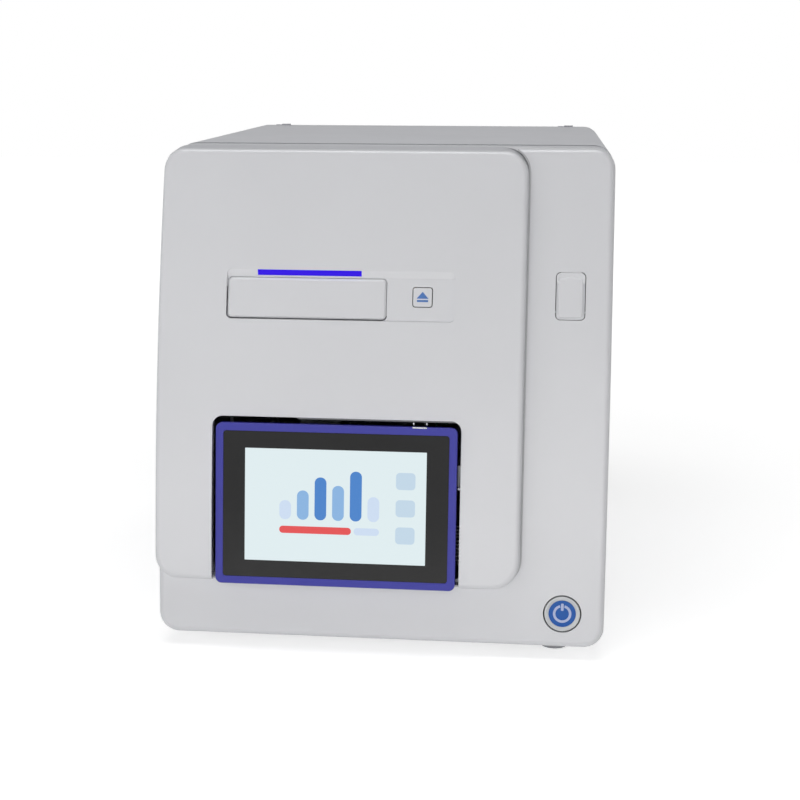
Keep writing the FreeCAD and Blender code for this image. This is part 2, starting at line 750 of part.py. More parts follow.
def fascia():
    """The raised panel: a thin shell with a notch for the screen and a recess for the tray."""
    left = -s.body_width / 2
    right = s.fascia_right
    low = s.fascia_low
    high = s.fascia_high
    wall = s.shell_wall
    back = front_y(s.body_height) + s.fascia_seat
    outside = leaning_block("fascia_outside", left, right, low, high, -s.fascia_proud,
                            (back, low), (back, s.body_height))
    inside = leaning_block("fascia_inside", left + wall, right - wall, low + wall, high - wall,
                           wall - s.fascia_proud, (back + 1, low + wall),
                           (back + 1, s.body_height - wall))
    corners = ((left, high, s.body_height, s.shell_corner), (right, high, s.body_height,
               s.fascia_corner_high), (right, low, low, s.fascia_corner_low),
               (left, low, low, s.fascia_corner_left))
    for across, near, far, radius in corners:
        inward = wall if across is left else -wall
        upward = wall if near is low else -wall
        round_edges(outside, radius, corner_edge(across, near, far))
        round_edges(inside, radius - wall, corner_edge(across + inward, near + upward, far + upward))
    round_edges(outside, s.fascia_edge, on_curved_face(-s.fascia_proud))
    margin = as_size(30)
    behind = leaning_block("behind_seat", left - margin, right + margin, low - margin,
                           s.body_height + margin, s.fascia_seat - s.fit_gap,
                           (as_size(300), low - margin), (as_size(300), s.body_height + margin))
    shell = subtract("fascia_shell", outside, inside, behind)
    backed = join("fascia_backed", shell, pocket_backing())
    return subtract("fascia", backed, pocket_space(), tray_opening(), eject_hole(), light_slot(),
                    screen_notch())


def pocket_backing():
    """Material behind the recess, so that its floor has the panel's wall."""
    wall = s.shell_wall
    low = s.pocket_low - wall
    high = s.pocket_high + wall
    depth = s.pocket_depth + wall
    part = new_body("pocket_backing")
    left = s.pocket_left - wall
    right = s.pocket_right + wall
    pad(part, "YZ", left, right - left,
        (polygon, [(face_y(low, wall / 2), low), (face_y(low, depth), low),
                   (face_y(high, depth), high), (face_y(high, wall / 2), high)]))
    return part


def pocket_space():
    """The recess round the tray: sloped at its top, and kept inside a rounded outline."""
    low = s.pocket_low
    knee = s.tray_open_high
    high = s.pocket_high
    left = s.pocket_left
    width = s.pocket_right - left
    outward = as_size(-4)
    slope = new_body("pocket_slope")
    pad(slope, "YZ", left - 1, width + 2,
        (polygon, [(face_y(low, outward), low), (face_y(low, s.pocket_depth), low),
                   (face_y(knee, s.pocket_depth), knee), (face_y(high, 0), high),
                   (face_y(high, outward), high)]))
    outline = through_front("pocket_outline", (rounded, left + width / 2, (low + high) / 2, width,
                                               high - low, s.pocket_corner))
    part = doc.addObject("Part::Common", "pocket_space")
    part.Base = slope
    part.Tool = outline
    return part


def tray_opening():
    low = s.pocket_low
    high = s.tray_open_high
    part = new_body("tray_opening")
    pad(part, "XZ", -40, 160, (rounded, s.tray_x, (low + high) / 2, s.tray_right - s.pocket_left,
                               high - low, s.pocket_corner))
    return part


def eject_body(label):
    """A body whose own XZ plane is the floor of the recess at the eject button."""
    return new_body(label, s.eject_x, face_y(s.eject_z, s.pocket_depth), s.eject_z, (-1, 0, 0),
                    lean_at(s.eject_z))


def eject_hole():
    part = eject_body("eject_hole")
    side = s.eject_size + 2 * s.eject_gap
    pad(part, "XZ", -10, 30, (rounded, 0, 0, side, side, 2 + s.eject_gap))
    return part


def light_profile(start, length, depth, spare):
    """Corners of the status light's section on the recess's sloped wall."""
    top_y = face_y(s.pocket_high, 0)
    run_y = face_y(s.tray_open_high, s.pocket_depth) - top_y
    run_z = -s.pocket_slope
    slope = root(run_y * run_y + run_z * run_z)
    along = (run_y / slope, run_z / slope)
    inward = (-along[1], along[0])

    def point(down, deep):
        return (top_y + along[0] * down + inward[0] * deep,
                s.pocket_high + along[1] * down + inward[1] * deep)
    down = start + length
    return [point(start, -spare), point(down, -spare), point(down, depth), point(start, depth)]


def light_slot():
    part = new_body("light_slot")
    gap = s.fit_gap / 2
    half = s.light_width / 2 + gap
    pad(part, "YZ", s.light_middle - half, 2 * half,
        (polygon, light_profile(gap, s.light_height + 2 * gap, 3 * s.light_depth, as_size(3))))
    return part


def screen_notch():
    high = s.notch_high
    low = as_size(0)
    return through_front("screen_notch", (rounded, (s.notch_left + s.notch_right) / 2, (low + high) / 2,
                                          s.notch_right - s.notch_left, high - low, s.notch_corner))


def status_light():
    part = new_body("status_light")
    pad(part, "YZ", s.light_middle - s.light_width / 2, s.light_width,
        (polygon, light_profile(s.fit_gap, s.light_height, s.light_depth, as_size(0))))
    return part


def light_board():
    """Strip of lamps behind the status light."""
    part = new_body("light_board")
    length = s.light_width + 8
    start = light_profile(as_size(-2), as_size(8), s.light_depth + 0.2, as_size(0))
    end = light_profile(as_size(-2), as_size(8), s.light_depth + 1.8, as_size(0))
    pad(part, "YZ", s.light_middle - length / 2, length,
        (polygon, [start[3], start[2], end[2], end[3]]))
    return part


def eject_button():
    part = eject_body("eject_button")
    pad(part, "XZ", -s.fit_gap, 5, (rounded, 0, 0, s.eject_size, s.eject_size, 2))
    round_edges(part, 0.5, lies_in(1, -s.fit_gap))
    pad(part, "XZ", 4, 5, (circle, 0, 0, 3))
    return part


def button_board():
    """Circuit board with the eject button's switch, on two posts behind the recess."""
    part = eject_body("button_board")
    switch = 9 + s.eject_travel + s.fit_gap
    face = switch + 4
    post_start = s.shell_wall + s.fit_gap
    pad(part, "XZ", face, 1.6, (rectangle, 0, 0, 32, 16))
    pad(part, "XZ", switch, face - switch, (rectangle, 0, 0, 7, 7))
    pad(part, "XZ", post_start, face - post_start, (circle, -12.5, 0, 2.4), (circle, 12.5, 0, 2.4))
    return part


def power_button():
    part = leaning_body("power_button", s.power_x, s.power_z)
    radius = s.power_radius
    seat = s.power_disc + 0.2
    outline = [(0, 1.4), (seat, 1.4), (seat, 0.6), (radius - 1.3, -0.6), (radius - 0.3, -0.3),
               (radius, 0.4), (radius, 6), (radius - 2, 6), (radius - 2, 3.6), (4, 3.6), (4, 9), (0, 9)]
    revolve(part, "XY", (polygon, outline), "Y")
    return part


def power_disc():
    part = leaning_body("power_disc", s.power_x, s.power_z)
    pad(part, "XZ", 0.5, 0.9, (circle, 0, 0, s.power_disc))
    return part


def power_switch():
    """Cup with the switch, held behind the cover; the power button runs in its bore."""
    part = leaning_body("power_switch", s.power_x, s.power_z)
    bore = s.power_radius + s.fit_gap
    front = s.shell_wall + 0.1
    contact = 9 + s.power_travel + s.fit_gap
    outline = [(bore, front), (bore + 6, front), (bore + 6, front + 2), (bore + 2, front + 2),
               (bore + 2, 20), (0, 20), (0, contact), (6, contact), (6, 18), (bore, 18)]
    revolve(part, "XY", (polygon, outline), "Y")
    return part


def port_flap():
    """Flap over the front data ports, with a raised inner panel and a knuckle behind it."""
    part = leaning_body("port_flap", s.flap_x, s.flap_z)
    depth, height = flap_axis()
    width = s.flap_width - 2 * s.flap_gap
    tall = s.flap_height - 2 * s.flap_gap
    rim = s.flap_gap
    pad(part, "XZ", rim, s.flap_thick, (rounded, 0, 0, width, tall, s.flap_corner - s.flap_gap))
    pad(part, "YZ", -width / 2, width, (circle, depth, height, s.flap_thick))
    panel_width = width - 5
    panel_top = tall / 2 - 5.5
    panel_low = 2.1 - tall / 2
    pad(part, "XZ", 0, rim + 0.2, (rounded, 0, (panel_top + panel_low) / 2, panel_width,
                                   panel_top - panel_low, 1.5))
    cut(part, "YZ", -width, 2 * width, (circle, depth, height, s.flap_pin + 0.05))
    return part


def flap_pin():
    part = leaning_body("flap_pin", s.flap_x, s.flap_z)
    length = s.flap_width + 2 * s.shell_wall - 0.4
    pad(part, "YZ", -length / 2, length, (circle, flap_axis()[0], flap_axis()[1], s.flap_pin))
    return part


def socket_heights():
    return (as_size(-8), as_size(8))


def port_seat():
    """Cup behind the flap that holds the two front sockets."""
    part = leaning_body("port_seat", s.flap_x, s.flap_z)
    front = s.shell_wall + 0.1
    depth = as_size(16)
    pad(part, "XZ", front, depth, (rounded, 0, 0, s.flap_width + 6, s.flap_height + 6, s.flap_corner))
    cut(part, "XZ", front, depth - 9, (rounded, 0, 0, s.flap_width + 0.6, s.flap_height + 1, s.flap_corner))
    cut(part, "XZ", front, depth + 1, *[(rectangle, 0, height, 13.4, 6) for height in socket_heights()])
    cut(part, "YZ", -s.flap_width, 2 * s.flap_width, (circle, flap_axis()[0], flap_axis()[1], s.flap_pin + 0.02))
    return part


def front_sockets():
    sockets = []
    for number, height in enumerate(socket_heights()):
        part = leaning_body(f"front_socket_{number + 1}", s.flap_x, s.flap_z)
        start = s.shell_wall + 5
        pad(part, "XZ", start, 14, (rectangle, 0, height, 13.1, 5.7))
        cut(part, "XZ", start, 12.8, (rectangle, 0, height, 12, 4.6))
        pad(part, "XZ", start + 1, 12, (rectangle, 0, height + 1, 11.1, 1.6))
        sockets.append(part)
    return gather("front_sockets", *sockets)


# The screen, which leans in a notch of the raised panel.


def screen_body(label):
    """A body whose own XZ plane is the screen's face, with Z = 0 at its lower edge."""
    return new_body(label, s.screen_x, -s.screen_reach, s.screen_low, (-1, 0, 0), s.screen_lean)


def screen_frame():
    part = screen_body("screen_frame")
    middle_z = s.screen_height / 2
    pad(part, "XZ", 0, s.screen_frame_depth,
        (rounded, 0, middle_z, s.screen_width, s.screen_height, s.screen_corner))
    round_edges(part, 0.8, lies_in(1, 0))
    glass = (rounded, 0, middle_z, s.screen_width - 2 * s.screen_rim,
             s.screen_height - 2 * s.screen_rim, s.screen_corner / 2)
    cut(part, "XZ", 0, s.glass_back + s.glass_thick, glass)
    cut(part, "XZ", 0, 2 * s.screen_frame_depth, (rectangle, 0, middle_z, s.display_width + 14,
                                                  s.display_height + 14))
    return part


def screen_glass():
    part = screen_body("screen_glass")
    gap = 2 * s.screen_rim + 0.3
    pad(part, "XZ", s.glass_back, s.glass_thick,
        (rounded, 0, s.screen_height / 2, s.screen_width - gap, s.screen_height - gap,
         s.screen_corner / 2))
    return part


def display_panel():
    part = screen_body("display_panel")
    pad(part, "XZ", s.glass_back + s.glass_thick + 0.1, 3.5,
        (rectangle, 0, s.screen_height / 2, s.display_width + 12, s.display_height + 12))
    return part


def screen_back():
    part = screen_body("screen_back")
    width = s.screen_width - 2 * s.screen_rim
    height = s.screen_height - 2 * s.screen_rim
    rear = s.screen_frame_depth + s.screen_back_depth
    pad(part, "XZ", s.screen_frame_depth, s.screen_back_depth,
        (rectangle, 0, s.screen_height / 2, width, height))
    bevel_edges(part, 6, lies_in(1, rear))
    slots = [(rectangle, -60 + 12 * number, s.screen_height / 2 + 30, 4, 34) for number in range(11)]
    cut(part, "XZ", rear - 2, 3, *slots)
    return part


def screen_bracket():
    """Steel plate and two arms that carry the screen from the base pan's tongue."""
    plate = screen_body("screen_bracket_plate")
    start = s.screen_frame_depth + s.screen_back_depth + 0.1
    pad(plate, "XZ", start, 6, (rectangle, 0, s.screen_height / 2 - 10, 120, 80))
    foot = tongue_top() + s.fit_gap
    arm_depth = start + 4
    low = (foot + 1 - s.screen_low) / cosine(s.screen_lean) + (arm_depth + 1) * sine(s.screen_lean)
    for side in (-1, 1):
        pad(plate, "XZ", arm_depth, 2, (rectangle, side * 45, (low + 40) / 2, 20, 40 - low))
    base = new_body("screen_bracket_feet")
    for side in (-1, 1):
        pad(base, "XY", foot, 2, (rectangle, s.screen_x + side * 45, 25.5, 24, 31))
    return join("screen_bracket", plate, base)


def screen_latch():
    """Small clip on top of the screen's housing, seen in the gap over the screen."""
    part = screen_body("screen_latch")
    low = s.screen_height - s.screen_rim
    pad(part, "XZ", s.screen_frame_depth + 0.1, 3,
        (polygon, [(66, low + 0.1), (78.5, low + 0.1), (78.5, low + 6), (77.1, low + 6), (77.1, low + 1.5),
                   (67.4, low + 1.5), (67.4, low + 6), (66, low + 6)]))
    return part


# The case: pan, housing, rear panel, feet.


def tongue_top():
    return s.shell_wall + s.fit_gap + s.sheet_wall


def case_ring(part, front, length):
    """The wrap's rounded outline as a thin ring, from its front edge backwards."""
    wall = s.sheet_wall
    middle_z = s.housing_top / 2
    pad(part, "XZ", front, length,
        (rounded, 0, middle_z, s.body_width, s.housing_top, s.shell_corner),
        (rounded, 0, middle_z, s.body_width - 2 * wall, s.housing_top - 2 * wall,
         s.shell_corner - wall))


def base_pan():
    """Lower half of the wrap, with a tongue that reaches forward inside the cover."""
    part = new_body("base_pan")
    front = s.housing_front
    length = s.body_depth - front
    case_ring(part, front, length)
    cut(part, "XZ", front - 1, length + 2,
        (rectangle, 0, s.pan_height + s.body_height / 2, s.body_width + 10, s.body_height))
    wall = s.sheet_wall
    tongue = s.body_width - 2 * s.shell_corner
    step = front + wall
    start = as_size(16)
    pad(part, "YZ", -tongue / 2, tongue,
        (polygon, [(start, tongue_top() - wall), (front, tongue_top() - wall), (front, 0), (step + 6, 0),
                   (step + 6, wall), (step, wall), (step, tongue_top()), (start, tongue_top())]))
    slots = [(rectangle, -60, 210 + 12 * number, 70, 5) for number in range(10)]
    slots += [(rectangle, 60, 210 + 12 * number, 70, 5) for number in range(10)]
    cut(part, "XY", -1, wall + 2, *slots)
    return part


def housing():
    """Upper half of the wrap: top and both sides in one bent sheet."""
    part = new_body("housing")
    front = s.housing_front
    length = s.body_depth - front
    case_ring(part, front, length)
    edge = s.pan_height + s.seam_gap
    cut(part, "XZ", front - 1, length + 2,
        (rectangle, 0, edge - s.body_height / 2, s.body_width + 10, s.body_height))
    return part


def foot(label, x, y):
    part = new_body(label, x, y, 0)
    base = s.foot_radius - s.foot_taper
    outline = [(0, 0), (s.foot_radius, 0), (s.foot_radius, -2), (base, -s.foot_height), (0, -s.foot_height)]
    revolve(part, "XZ", (polygon, outline), "Z")
    return part


def feet():
    return gather("feet", foot("foot_front_right", s.foot_side, s.foot_front),
                  foot("foot_front_left", -s.foot_left_side, s.foot_left_front),
                  foot("foot_rear_right", s.foot_side, s.foot_rear),
                  foot("foot_rear_left", -s.foot_side, s.foot_rear))


def grille(x, z):
    """Outlines of a round grille's slots."""
    slots = []
    reach = s.fan_bore - 1
    rows = int(reach.value // s.grille_pitch.value)
    for row in range(-rows, rows + 1):
        up = row * s.grille_pitch
        half = root(reach * reach - up * up) - 1
        slots.append((rounded, x, z + up, 2 * half, s.grille_slot, s.grille_slot / 2 - 0.2))
    return slots


def rear_panel():
    part = new_body("rear_panel")
    gap = s.sheet_wall + s.fit_gap
    width = s.body_width - 2 * gap
    height = s.housing_top - 2 * gap
    middle_z = s.housing_top / 2
    corner = s.shell_corner - gap
    wall = s.sheet_wall
    inner = s.rear_face - wall
    pad(part, "XZ", inner, wall, (rounded, 0, middle_z, width, height, corner))
    pad(part, "XZ", s.rear_face - s.rear_lip, s.rear_lip - wall / 2,
        (rounded, 0, middle_z, width, height, corner),
        (rounded, 0, middle_z, width - 2 * wall, height - 2 * wall, corner - wall))
    for x in (s.fan_left, s.fan_right):
        cut(part, "XZ", inner - 1, wall + 2, *grille(x, s.fan_z))
    cut(part, "XZ", inner - 1, wall + 2,
        (rectangle, s.inlet_x, (s.inlet_z + s.switch_z) / 2, s.inlet_width, s.switch_z - s.inlet_z
         + (s.inlet_height + s.switch_height) / 2 - 3),
        (rectangle, s.port_x, s.port_z, 16.4, 14), (rectangle, s.port_x, s.port_z + 18, 14, 15))
    return part


def rear_top_clips():
    """Folded tabs that hook over the housing's rear edge: a wide and a narrow one each side."""
    clips = []
    for number, x in enumerate((-163, 162)):
        part = new_body(f"rear_clip_{number + 1}", x, s.body_depth - 9, s.housing_top)
        pad(part, "XY", 0, 1.4, (rounded, 3, 4, 9.6, 8, 2))
        pad(part, "XY", 0, 0.7, (rectangle, -7.2, 4, 3.2, 6))
        pad(part, "XY", 0, 0.7, (rectangle, -3.9, 4, 4.6, 2))
        clips.append(part)
    return gather("rear_top_clips", *clips)


def panel_screws():
    """Screws of the rear panel, with round heads."""
    screws = []
    head = s.screw_radius * 2
    places = [(x, z) for x in (-186, 0, 186) for z in (16, 414)] + [(-186, 215), (186, 215)]
    for number, (x, z) in enumerate(places):
        part = new_body(f"screw_{number + 1}", x, s.rear_face, z)
        outline = [(0, 0), (head, 0), (head - 0.6, 1.8), (0, 2.2)]
        revolve(part, "XY", (polygon, outline), "Y")
        screws.append(part)
    return gather("panel_screws", *screws)


# The tray, its rails and its drive.


def tray_front():
    """The tray's front panel: its face follows the raised panel, with a bevel along the foot."""
    gap = s.tray_gap
    low = s.pocket_low + gap
    high = s.tray_open_high - gap
    back = s.tray_start
    part = leaning_block("tray_front", s.pocket_left + gap, s.tray_right - gap, low, high,
                         s.tray_panel_back - s.fascia_proud, (back, low), (back, high))
    for across in (s.pocket_left + gap, s.tray_right - gap):
        for height in (low, high):
            round_edges(part, s.pocket_corner - gap, corner_edge(across, height))
    bevel_edges(part, 1.6, lambda edge: spans(edge, 0) > 50 and middle(edge, 2) < low.value + 0.1
                and middle(edge, 1) < back.value - 3)
    return part


def plate_tray():
    """Frame with a nest for one plate, a window under it, and two arms behind it."""
    part = new_body("plate_tray")
    x = s.tray_middle
    nest_back = s.plate_y + s.nest_width / 2
    front_length = nest_back + 3 - s.tray_start
    pad(part, "XY", s.tray_floor, s.tray_thick,
        (rectangle, x, s.tray_start + front_length / 2, s.tray_width, front_length))
    arm_length = s.tray_length - front_length + 4
    arm_y = s.tray_start + s.tray_length - arm_length / 2
    reach = (s.tray_width - s.tray_arm) / 2
    pad(part, "XY", s.tray_floor, s.tray_thick, (rectangle, x - reach, arm_y, s.tray_arm, arm_length),
        (rectangle, x + reach, arm_y, s.tray_arm, arm_length))
    nest_floor = s.tray_floor + s.tray_web
    cut(part, "XY", nest_floor, s.tray_thick,
        (rounded, x, s.plate_y, s.nest_length, s.nest_width, 3))
    cut(part, "XY", s.tray_floor - 1, s.tray_thick,
        (rounded, x, s.plate_y, s.nest_length - 2 * s.nest_ledge, s.nest_width - 2 * s.nest_ledge, 4))
    for side in (-1, 1):
        cut(part, "XY", nest_floor, s.tray_thick,
            (rounded, x, s.plate_y + side * s.nest_width / 2, 26, 14, 6))
    well_length = s.nest_start - 12 - 7
    cut(part, "XY", nest_floor, s.tray_thick,
        (rounded, x, s.tray_start + 6 + well_length / 2, s.tray_width - 14, well_length, 3))
    return part


def rail_places():
    reach = s.tray_width / 2 - s.runner_width / 2 - 1
    return s.tray_middle - reach, s.tray_middle + reach


def tray_rails():
    rails = []
    front = s.deck_front + 3
    length = s.frame_back - front - 4
    for number, x in enumerate(rail_places()):
        part = new_body(f"tray_rail_{number + 1}", x, 0, 0)
        pad(part, "XZ", front, length, (rectangle, 0, s.deck_top + s.rail_height / 2, s.rail_width,
                                        s.rail_height))
        rails.append(part)
    return gather("tray_rails", *rails)


def tray_runners():
    """Four blocks under the tray, each wrapped round a rail from above."""
    runners = []
    half = s.runner_width / 2
    inner = s.rail_width / 2 + s.fit_gap + 0.05
    roof = s.deck_top + s.rail_height + s.fit_gap + 0.05
    low = s.deck_top + 1.5
    profile = [(-half, low), (-inner, low), (-inner, roof), (inner, roof), (inner, low), (half, low),
               (half, s.tray_floor), (-half, s.tray_floor)]
    for x in rail_places():
        for back in (89, 19):
            part = new_body(f"tray_runner_{len(runners) + 1}", x, 0, 0)
            y = s.tray_start + s.tray_length - back
            pad(part, "XZ", y - s.runner_length / 2, s.runner_length, (polygon, profile))
            runners.append(part)
    return gather("tray_runners", *runners)


def tray_rack():
    """Toothed strip along the tray's right side."""
    part = new_body("tray_rack")
    low = s.tray_floor + 2
    side = s.tray_middle + s.tray_width / 2
    face = side + s.rack_body
    first = s.pinion_place - 1.5 * s.rack_pitch
    length = 54 * s.rack_pitch
    start = first - s.rack_pitch / 2
    pad(part, "XY", low, s.rack_height,
        (rectangle, side + s.rack_body / 2, start + length / 2, s.rack_body, length))
    module = s.rack_pitch / 3.1415927
    tip = face + 2.25 * module
    pitch_half = s.rack_pitch / 4 - s.rack_tooth_gap / 2
    root_half = pitch_half + 1.25 * module * 0.364
    tip_half = pitch_half - module * 0.364
    tooth = pad(part, "XY", low, s.rack_height,
                (polygon, [(face - 0.3, first - root_half), (face, first - root_half),
                           (tip, first - tip_half), (tip, first + tip_half),
                           (face, first + root_half), (face - 0.3, first + root_half)]))
    repeat_line(part, tooth, "Y", s.rack_pitch, 54)
    return part


def pinion_tooth():
    """One tooth of 18 with involute sides, pointing along +X, as shares of the pitch radius."""
    base = math.cos(math.radians(20))
    involute = math.tan(math.radians(20)) - math.radians(20)
    half = math.pi / 36 + involute - 0.018
    side = [(0.83, 0.83 * math.tan(half))]
    for roll in (0.0, 0.3, 0.42, 0.54):
        angle = half - (roll - math.atan(roll))
        radius = base * math.sqrt(1 + roll * roll)
        side.append((radius * math.cos(angle), radius * math.sin(angle)))
    points = side + [(x, -y) for x, y in reversed(side)]
    return [(s.pinion_radius * x, s.pinion_radius * y) for x, y in points]


def drive_pinion():
    """Gear on a short upright shaft that goes down into the drive motor."""
    low = s.tray_floor + 2
    part = new_body("drive_pinion", s.pinion_x, s.pinion_place, low)
    root_radius = s.pinion_radius * 0.85
    pad(part, "XY", 0, s.rack_height, (circle, 0, 0, root_radius))
    tooth = pad(part, "XY", 0, s.rack_height, (polygon, pinion_tooth()))
    repeat_round(part, tooth, "Z", 18)
    pad(part, "XY", -32, 32.5, (circle, 0, 0, 2.5))
    return part


def drive_motor():
    part = new_body("drive_motor", s.pinion_x, s.pinion_place, s.deck_top - s.deck_thick)
    pad(part, "XY", -38, 37.7, (rounded, 0, 0, 35, 35, 4))
    pad(part, "XY", -1, 3.5, (circle, 0, 0, 8))
    cut(part, "XY", -20, 30, (circle, 0, 0, 2.56))
    bevel_edges(part, 1.5, lies_in(2, -38))
    return part


def deck_plate():
    """Shelf between the frame plates that carries the rails, with an opening for the block."""
    part = new_body("deck_plate")
    gap = s.fit_gap
    left = s.frame_left + s.frame_thick + gap
    right = s.frame_right - s.frame_thick - gap
    length = s.frame_back - s.deck_front
    pad(part, "XY", s.deck_top - s.deck_thick, s.deck_thick,
        (rectangle, (left + right) / 2, s.deck_front + length / 2, right - left, length),
        (rounded, s.tray_middle, s.plate_y, s.block_length + 3, s.block_width + 3, 3),
        (circle, s.pinion_x, s.pinion_place, 8.3),
        (rounded, s.tray_middle, s.plate_y + 105, 70, 90, 8))
    pad(part, "XZ", s.frame_back - s.deck_thick, s.deck_thick,
        (rectangle, (left + right) / 2, s.deck_top - 8, right - left, 12))
    return part


# The lift, the press and the imaging module.


def thermal_block():
    """Pedestal that rises through the tray's window to the plate, on a wider base."""
    part = new_body("thermal_block", s.tray_middle, s.plate_y, s.block_top)
    pad(part, "XY", -s.block_height, s.block_height, (rounded, 0, 0, s.block_length, s.block_width, 2))
    bevel_edges(part, 0.8, lies_in(2, 0))
    pad(part, "XY", -s.block_height - 8, 8, (rectangle, 0, 0, s.block_length + 12, s.block_width + 12))
    return part


def sink_top():
    return s.block_top - s.block_height - 8


def heat_sink():
    part = new_body("heat_sink", s.tray_middle, s.plate_y, sink_top())
    width = s.block_length + 12
    pad(part, "XY", -6, 6, (rectangle, 0, 0, width, s.block_width + 16))
    first = -8 * s.fin_pitch
    fin = pad(part, "YZ", first - s.fin_thick / 2, s.fin_thick,
              (rectangle, 0, -6 - s.fin_height / 2 + 0.5, s.block_width + 16, s.fin_height + 1))
    repeat_line(part, fin, "X", s.fin_pitch, 17)
    cut(part, "XY", -6 - s.fin_height - 1, s.fin_height + 1, (circle, 0, 0, 11))
    return part


def lift_rod():
    part = new_body("lift_rod", s.tray_middle, s.plate_y, sink_top() - 6)
    pad(part, "XY", -100, 100, (circle, 0, 0, 6))
    pad(part, "XY", -4, 4, (circle, 0, 0, 10))
    return part


def lift_actuator():
    """Upright actuator on a cross beam between the frame plates."""
    part = new_body("lift_actuator", s.tray_middle, s.plate_y, 120)
    pad(part, "XY", 4, 76, (rounded, 0, 0, 44, 44, 4))
    pad(part, "XY", 4, 30, (rounded, 0, 36, 34, 32, 3))
    left = s.frame_left + s.frame_thick + s.fit_gap - s.tray_middle
    right = s.frame_right - s.frame_thick - s.fit_gap - s.tray_middle
    pad(part, "XY", 0, 4, (rectangle, (left + right) / 2, 0, right - left, 56))
    for side in (-1, 1):
        pad(part, "XY", -10, 11, (rectangle, (left + right) / 2, side * 26.5, right - left, 3))
    cut(part, "XY", 14, 70, (circle, 0, 0, 6.35))
    return part


def press_low():
    return s.tray_floor + s.press_rise


def rod_places():
    """The press rods, left and right of the imaging hood."""
    reach = s.hood_half + 7
    return s.tray_middle - reach, s.tray_middle + reach


def press_frame():
    """Ring that comes down on the plate's rim, with an ear for a rod on each side."""
    part = new_body("press_frame", s.tray_middle, s.plate_y, press_low())
    reach = s.hood_half + 7
    pad(part, "XY", 0, s.press_thick, (rounded, 0, 0, 132, 90, 5), (rounded, 0, 0, 112, 70, 4))
    cut(part, "XY", 2.6, s.press_thick, (rounded, 0, 0, 118.6, 76.6, 4))
    for side in (-1, 1):
        pad(part, "XY", 0, s.press_thick, (rounded, side * (reach - 3), 0, 20, 26, 4))
    return part


def press_window():
    part = new_body("press_window", s.tray_middle, s.plate_y, press_low() + 2.6)
    pad(part, "XY", 0, 1.6, (rounded, 0, 0, 118, 76, 4))
    return part


def press_rods():
    rods = []
    for number, x in enumerate(rod_places()):
        part = new_body(f"press_rod_{number + 1}", x, s.plate_y, press_low() + s.press_thick)
        pad(part, "XY", 0, 40, (circle, 0, 0, 2.5))
        rods.append(part)
    return gather("press_rods", *rods)


def press_actuators():
    """Two small actuators that stand on the hood's flanges."""
    actuators = []
    start = s.hood_low + s.hood_wall + 0.1
    for number, x in enumerate(rod_places()):
        part = new_body(f"press_actuator_{number + 1}", x, s.plate_y, start)
        pad(part, "XY", 0, 46, (rounded, 0, 0, 12, 26, 2))
        cut(part, "XY", -1, 45, (circle, 0, 0, 2.85))
        actuators.append(part)
    return gather("press_actuators", *actuators)


def roof_line(drop):
    """Height of a line under the hood's sloped roof at the front wall's inner face."""
    return s.hood_low + s.hood_front - drop * 1.41421


def imaging_hood():
    """Light-tight hood over the plate, with a roof that slopes at 45 degrees."""
    part = new_body("imaging_hood")
    front = s.plate_y - s.hood_reach
    low = s.hood_low
    wall = s.hood_wall
    span = 2 * s.hood_reach
    top = low + s.hood_front + span
    left = s.tray_middle - s.hood_half
    pad(part, "YZ", left, 2 * s.hood_half,
        (polygon, [(front, low), (s.hood_rear, low), (s.hood_rear, top), (front, low + s.hood_front)]))
    inner_low = roof_line(wall) + wall
    cut(part, "YZ", left + wall, 2 * s.hood_half - 2 * wall,
        (polygon, [(front + wall, low - 1), (s.hood_rear - wall, low - 1),
                   (s.hood_rear - wall, inner_low + span - 2 * wall), (front + wall, inner_low)]))
    flange_left = s.frame_left + s.frame_thick + s.fit_gap
    flange_right = s.frame_right - s.frame_thick - s.fit_gap
    right = s.tray_middle + s.hood_half
    rods = [(circle, x, s.plate_y, 3) for x in rod_places()]
    pad(part, "XY", low, wall,
        (rectangle, (flange_left + left + 1) / 2, s.plate_y, left + 1 - flange_left, 60), rods[0],
        (rectangle, (flange_right + right - 1) / 2, s.plate_y, flange_right - right + 1, 60), rods[1])
    cut(part, "XZ", s.hood_rear - wall - 1, wall + 2, (circle, s.tray_middle, s.optics_axis, 20))
    return part


def fold_mirror():
    """Mirror under the hood's roof that turns the view from the plate to the camera."""
    part = new_body("fold_mirror")
    start = s.plate_y - s.hood_reach + 9
    length = 2 * s.hood_reach - 18
    upper = roof_line(s.hood_wall + s.fit_gap) + 9
    lower = roof_line(s.hood_wall + s.fit_gap + 3) + 9
    pad(part, "YZ", s.tray_middle - 60, 120,
        (polygon, [(start, lower), (start + length, lower + length),
                   (start + length, upper + length), (start, upper)]))
    return part


def wheel_body(label, start):
    """A body on the filter wheel's axis, behind the imaging hood."""
    return new_body(label, s.tray_middle - s.wheel_offset, s.hood_rear + start, s.optics_axis)


def filter_wheel():
    part = wheel_body("filter_wheel", 3)
    pad(part, "XZ", 0, 5, (circle, 0, 0, s.wheel_radius))
    hole = cut(part, "XZ", -1, 7, (circle, s.wheel_offset, 0, s.filter_radius))
    repeat_round(part, hole, "Y", s.filter_count)
    pad(part, "XZ", 4, 6, (circle, 0, 0, 7))
    pad(part, "XZ", 9, 14, (circle, 0, 0, 2.5))
    return part


def filter_discs():
    part = wheel_body("filter_discs", 4)
    disc = pad(part, "XZ", 0, 3, (circle, s.wheel_offset, 0, s.filter_radius))
    repeat_round(part, disc, "Y", s.filter_count)
    return part


def shelf_top():
    return s.optics_axis - 28.3


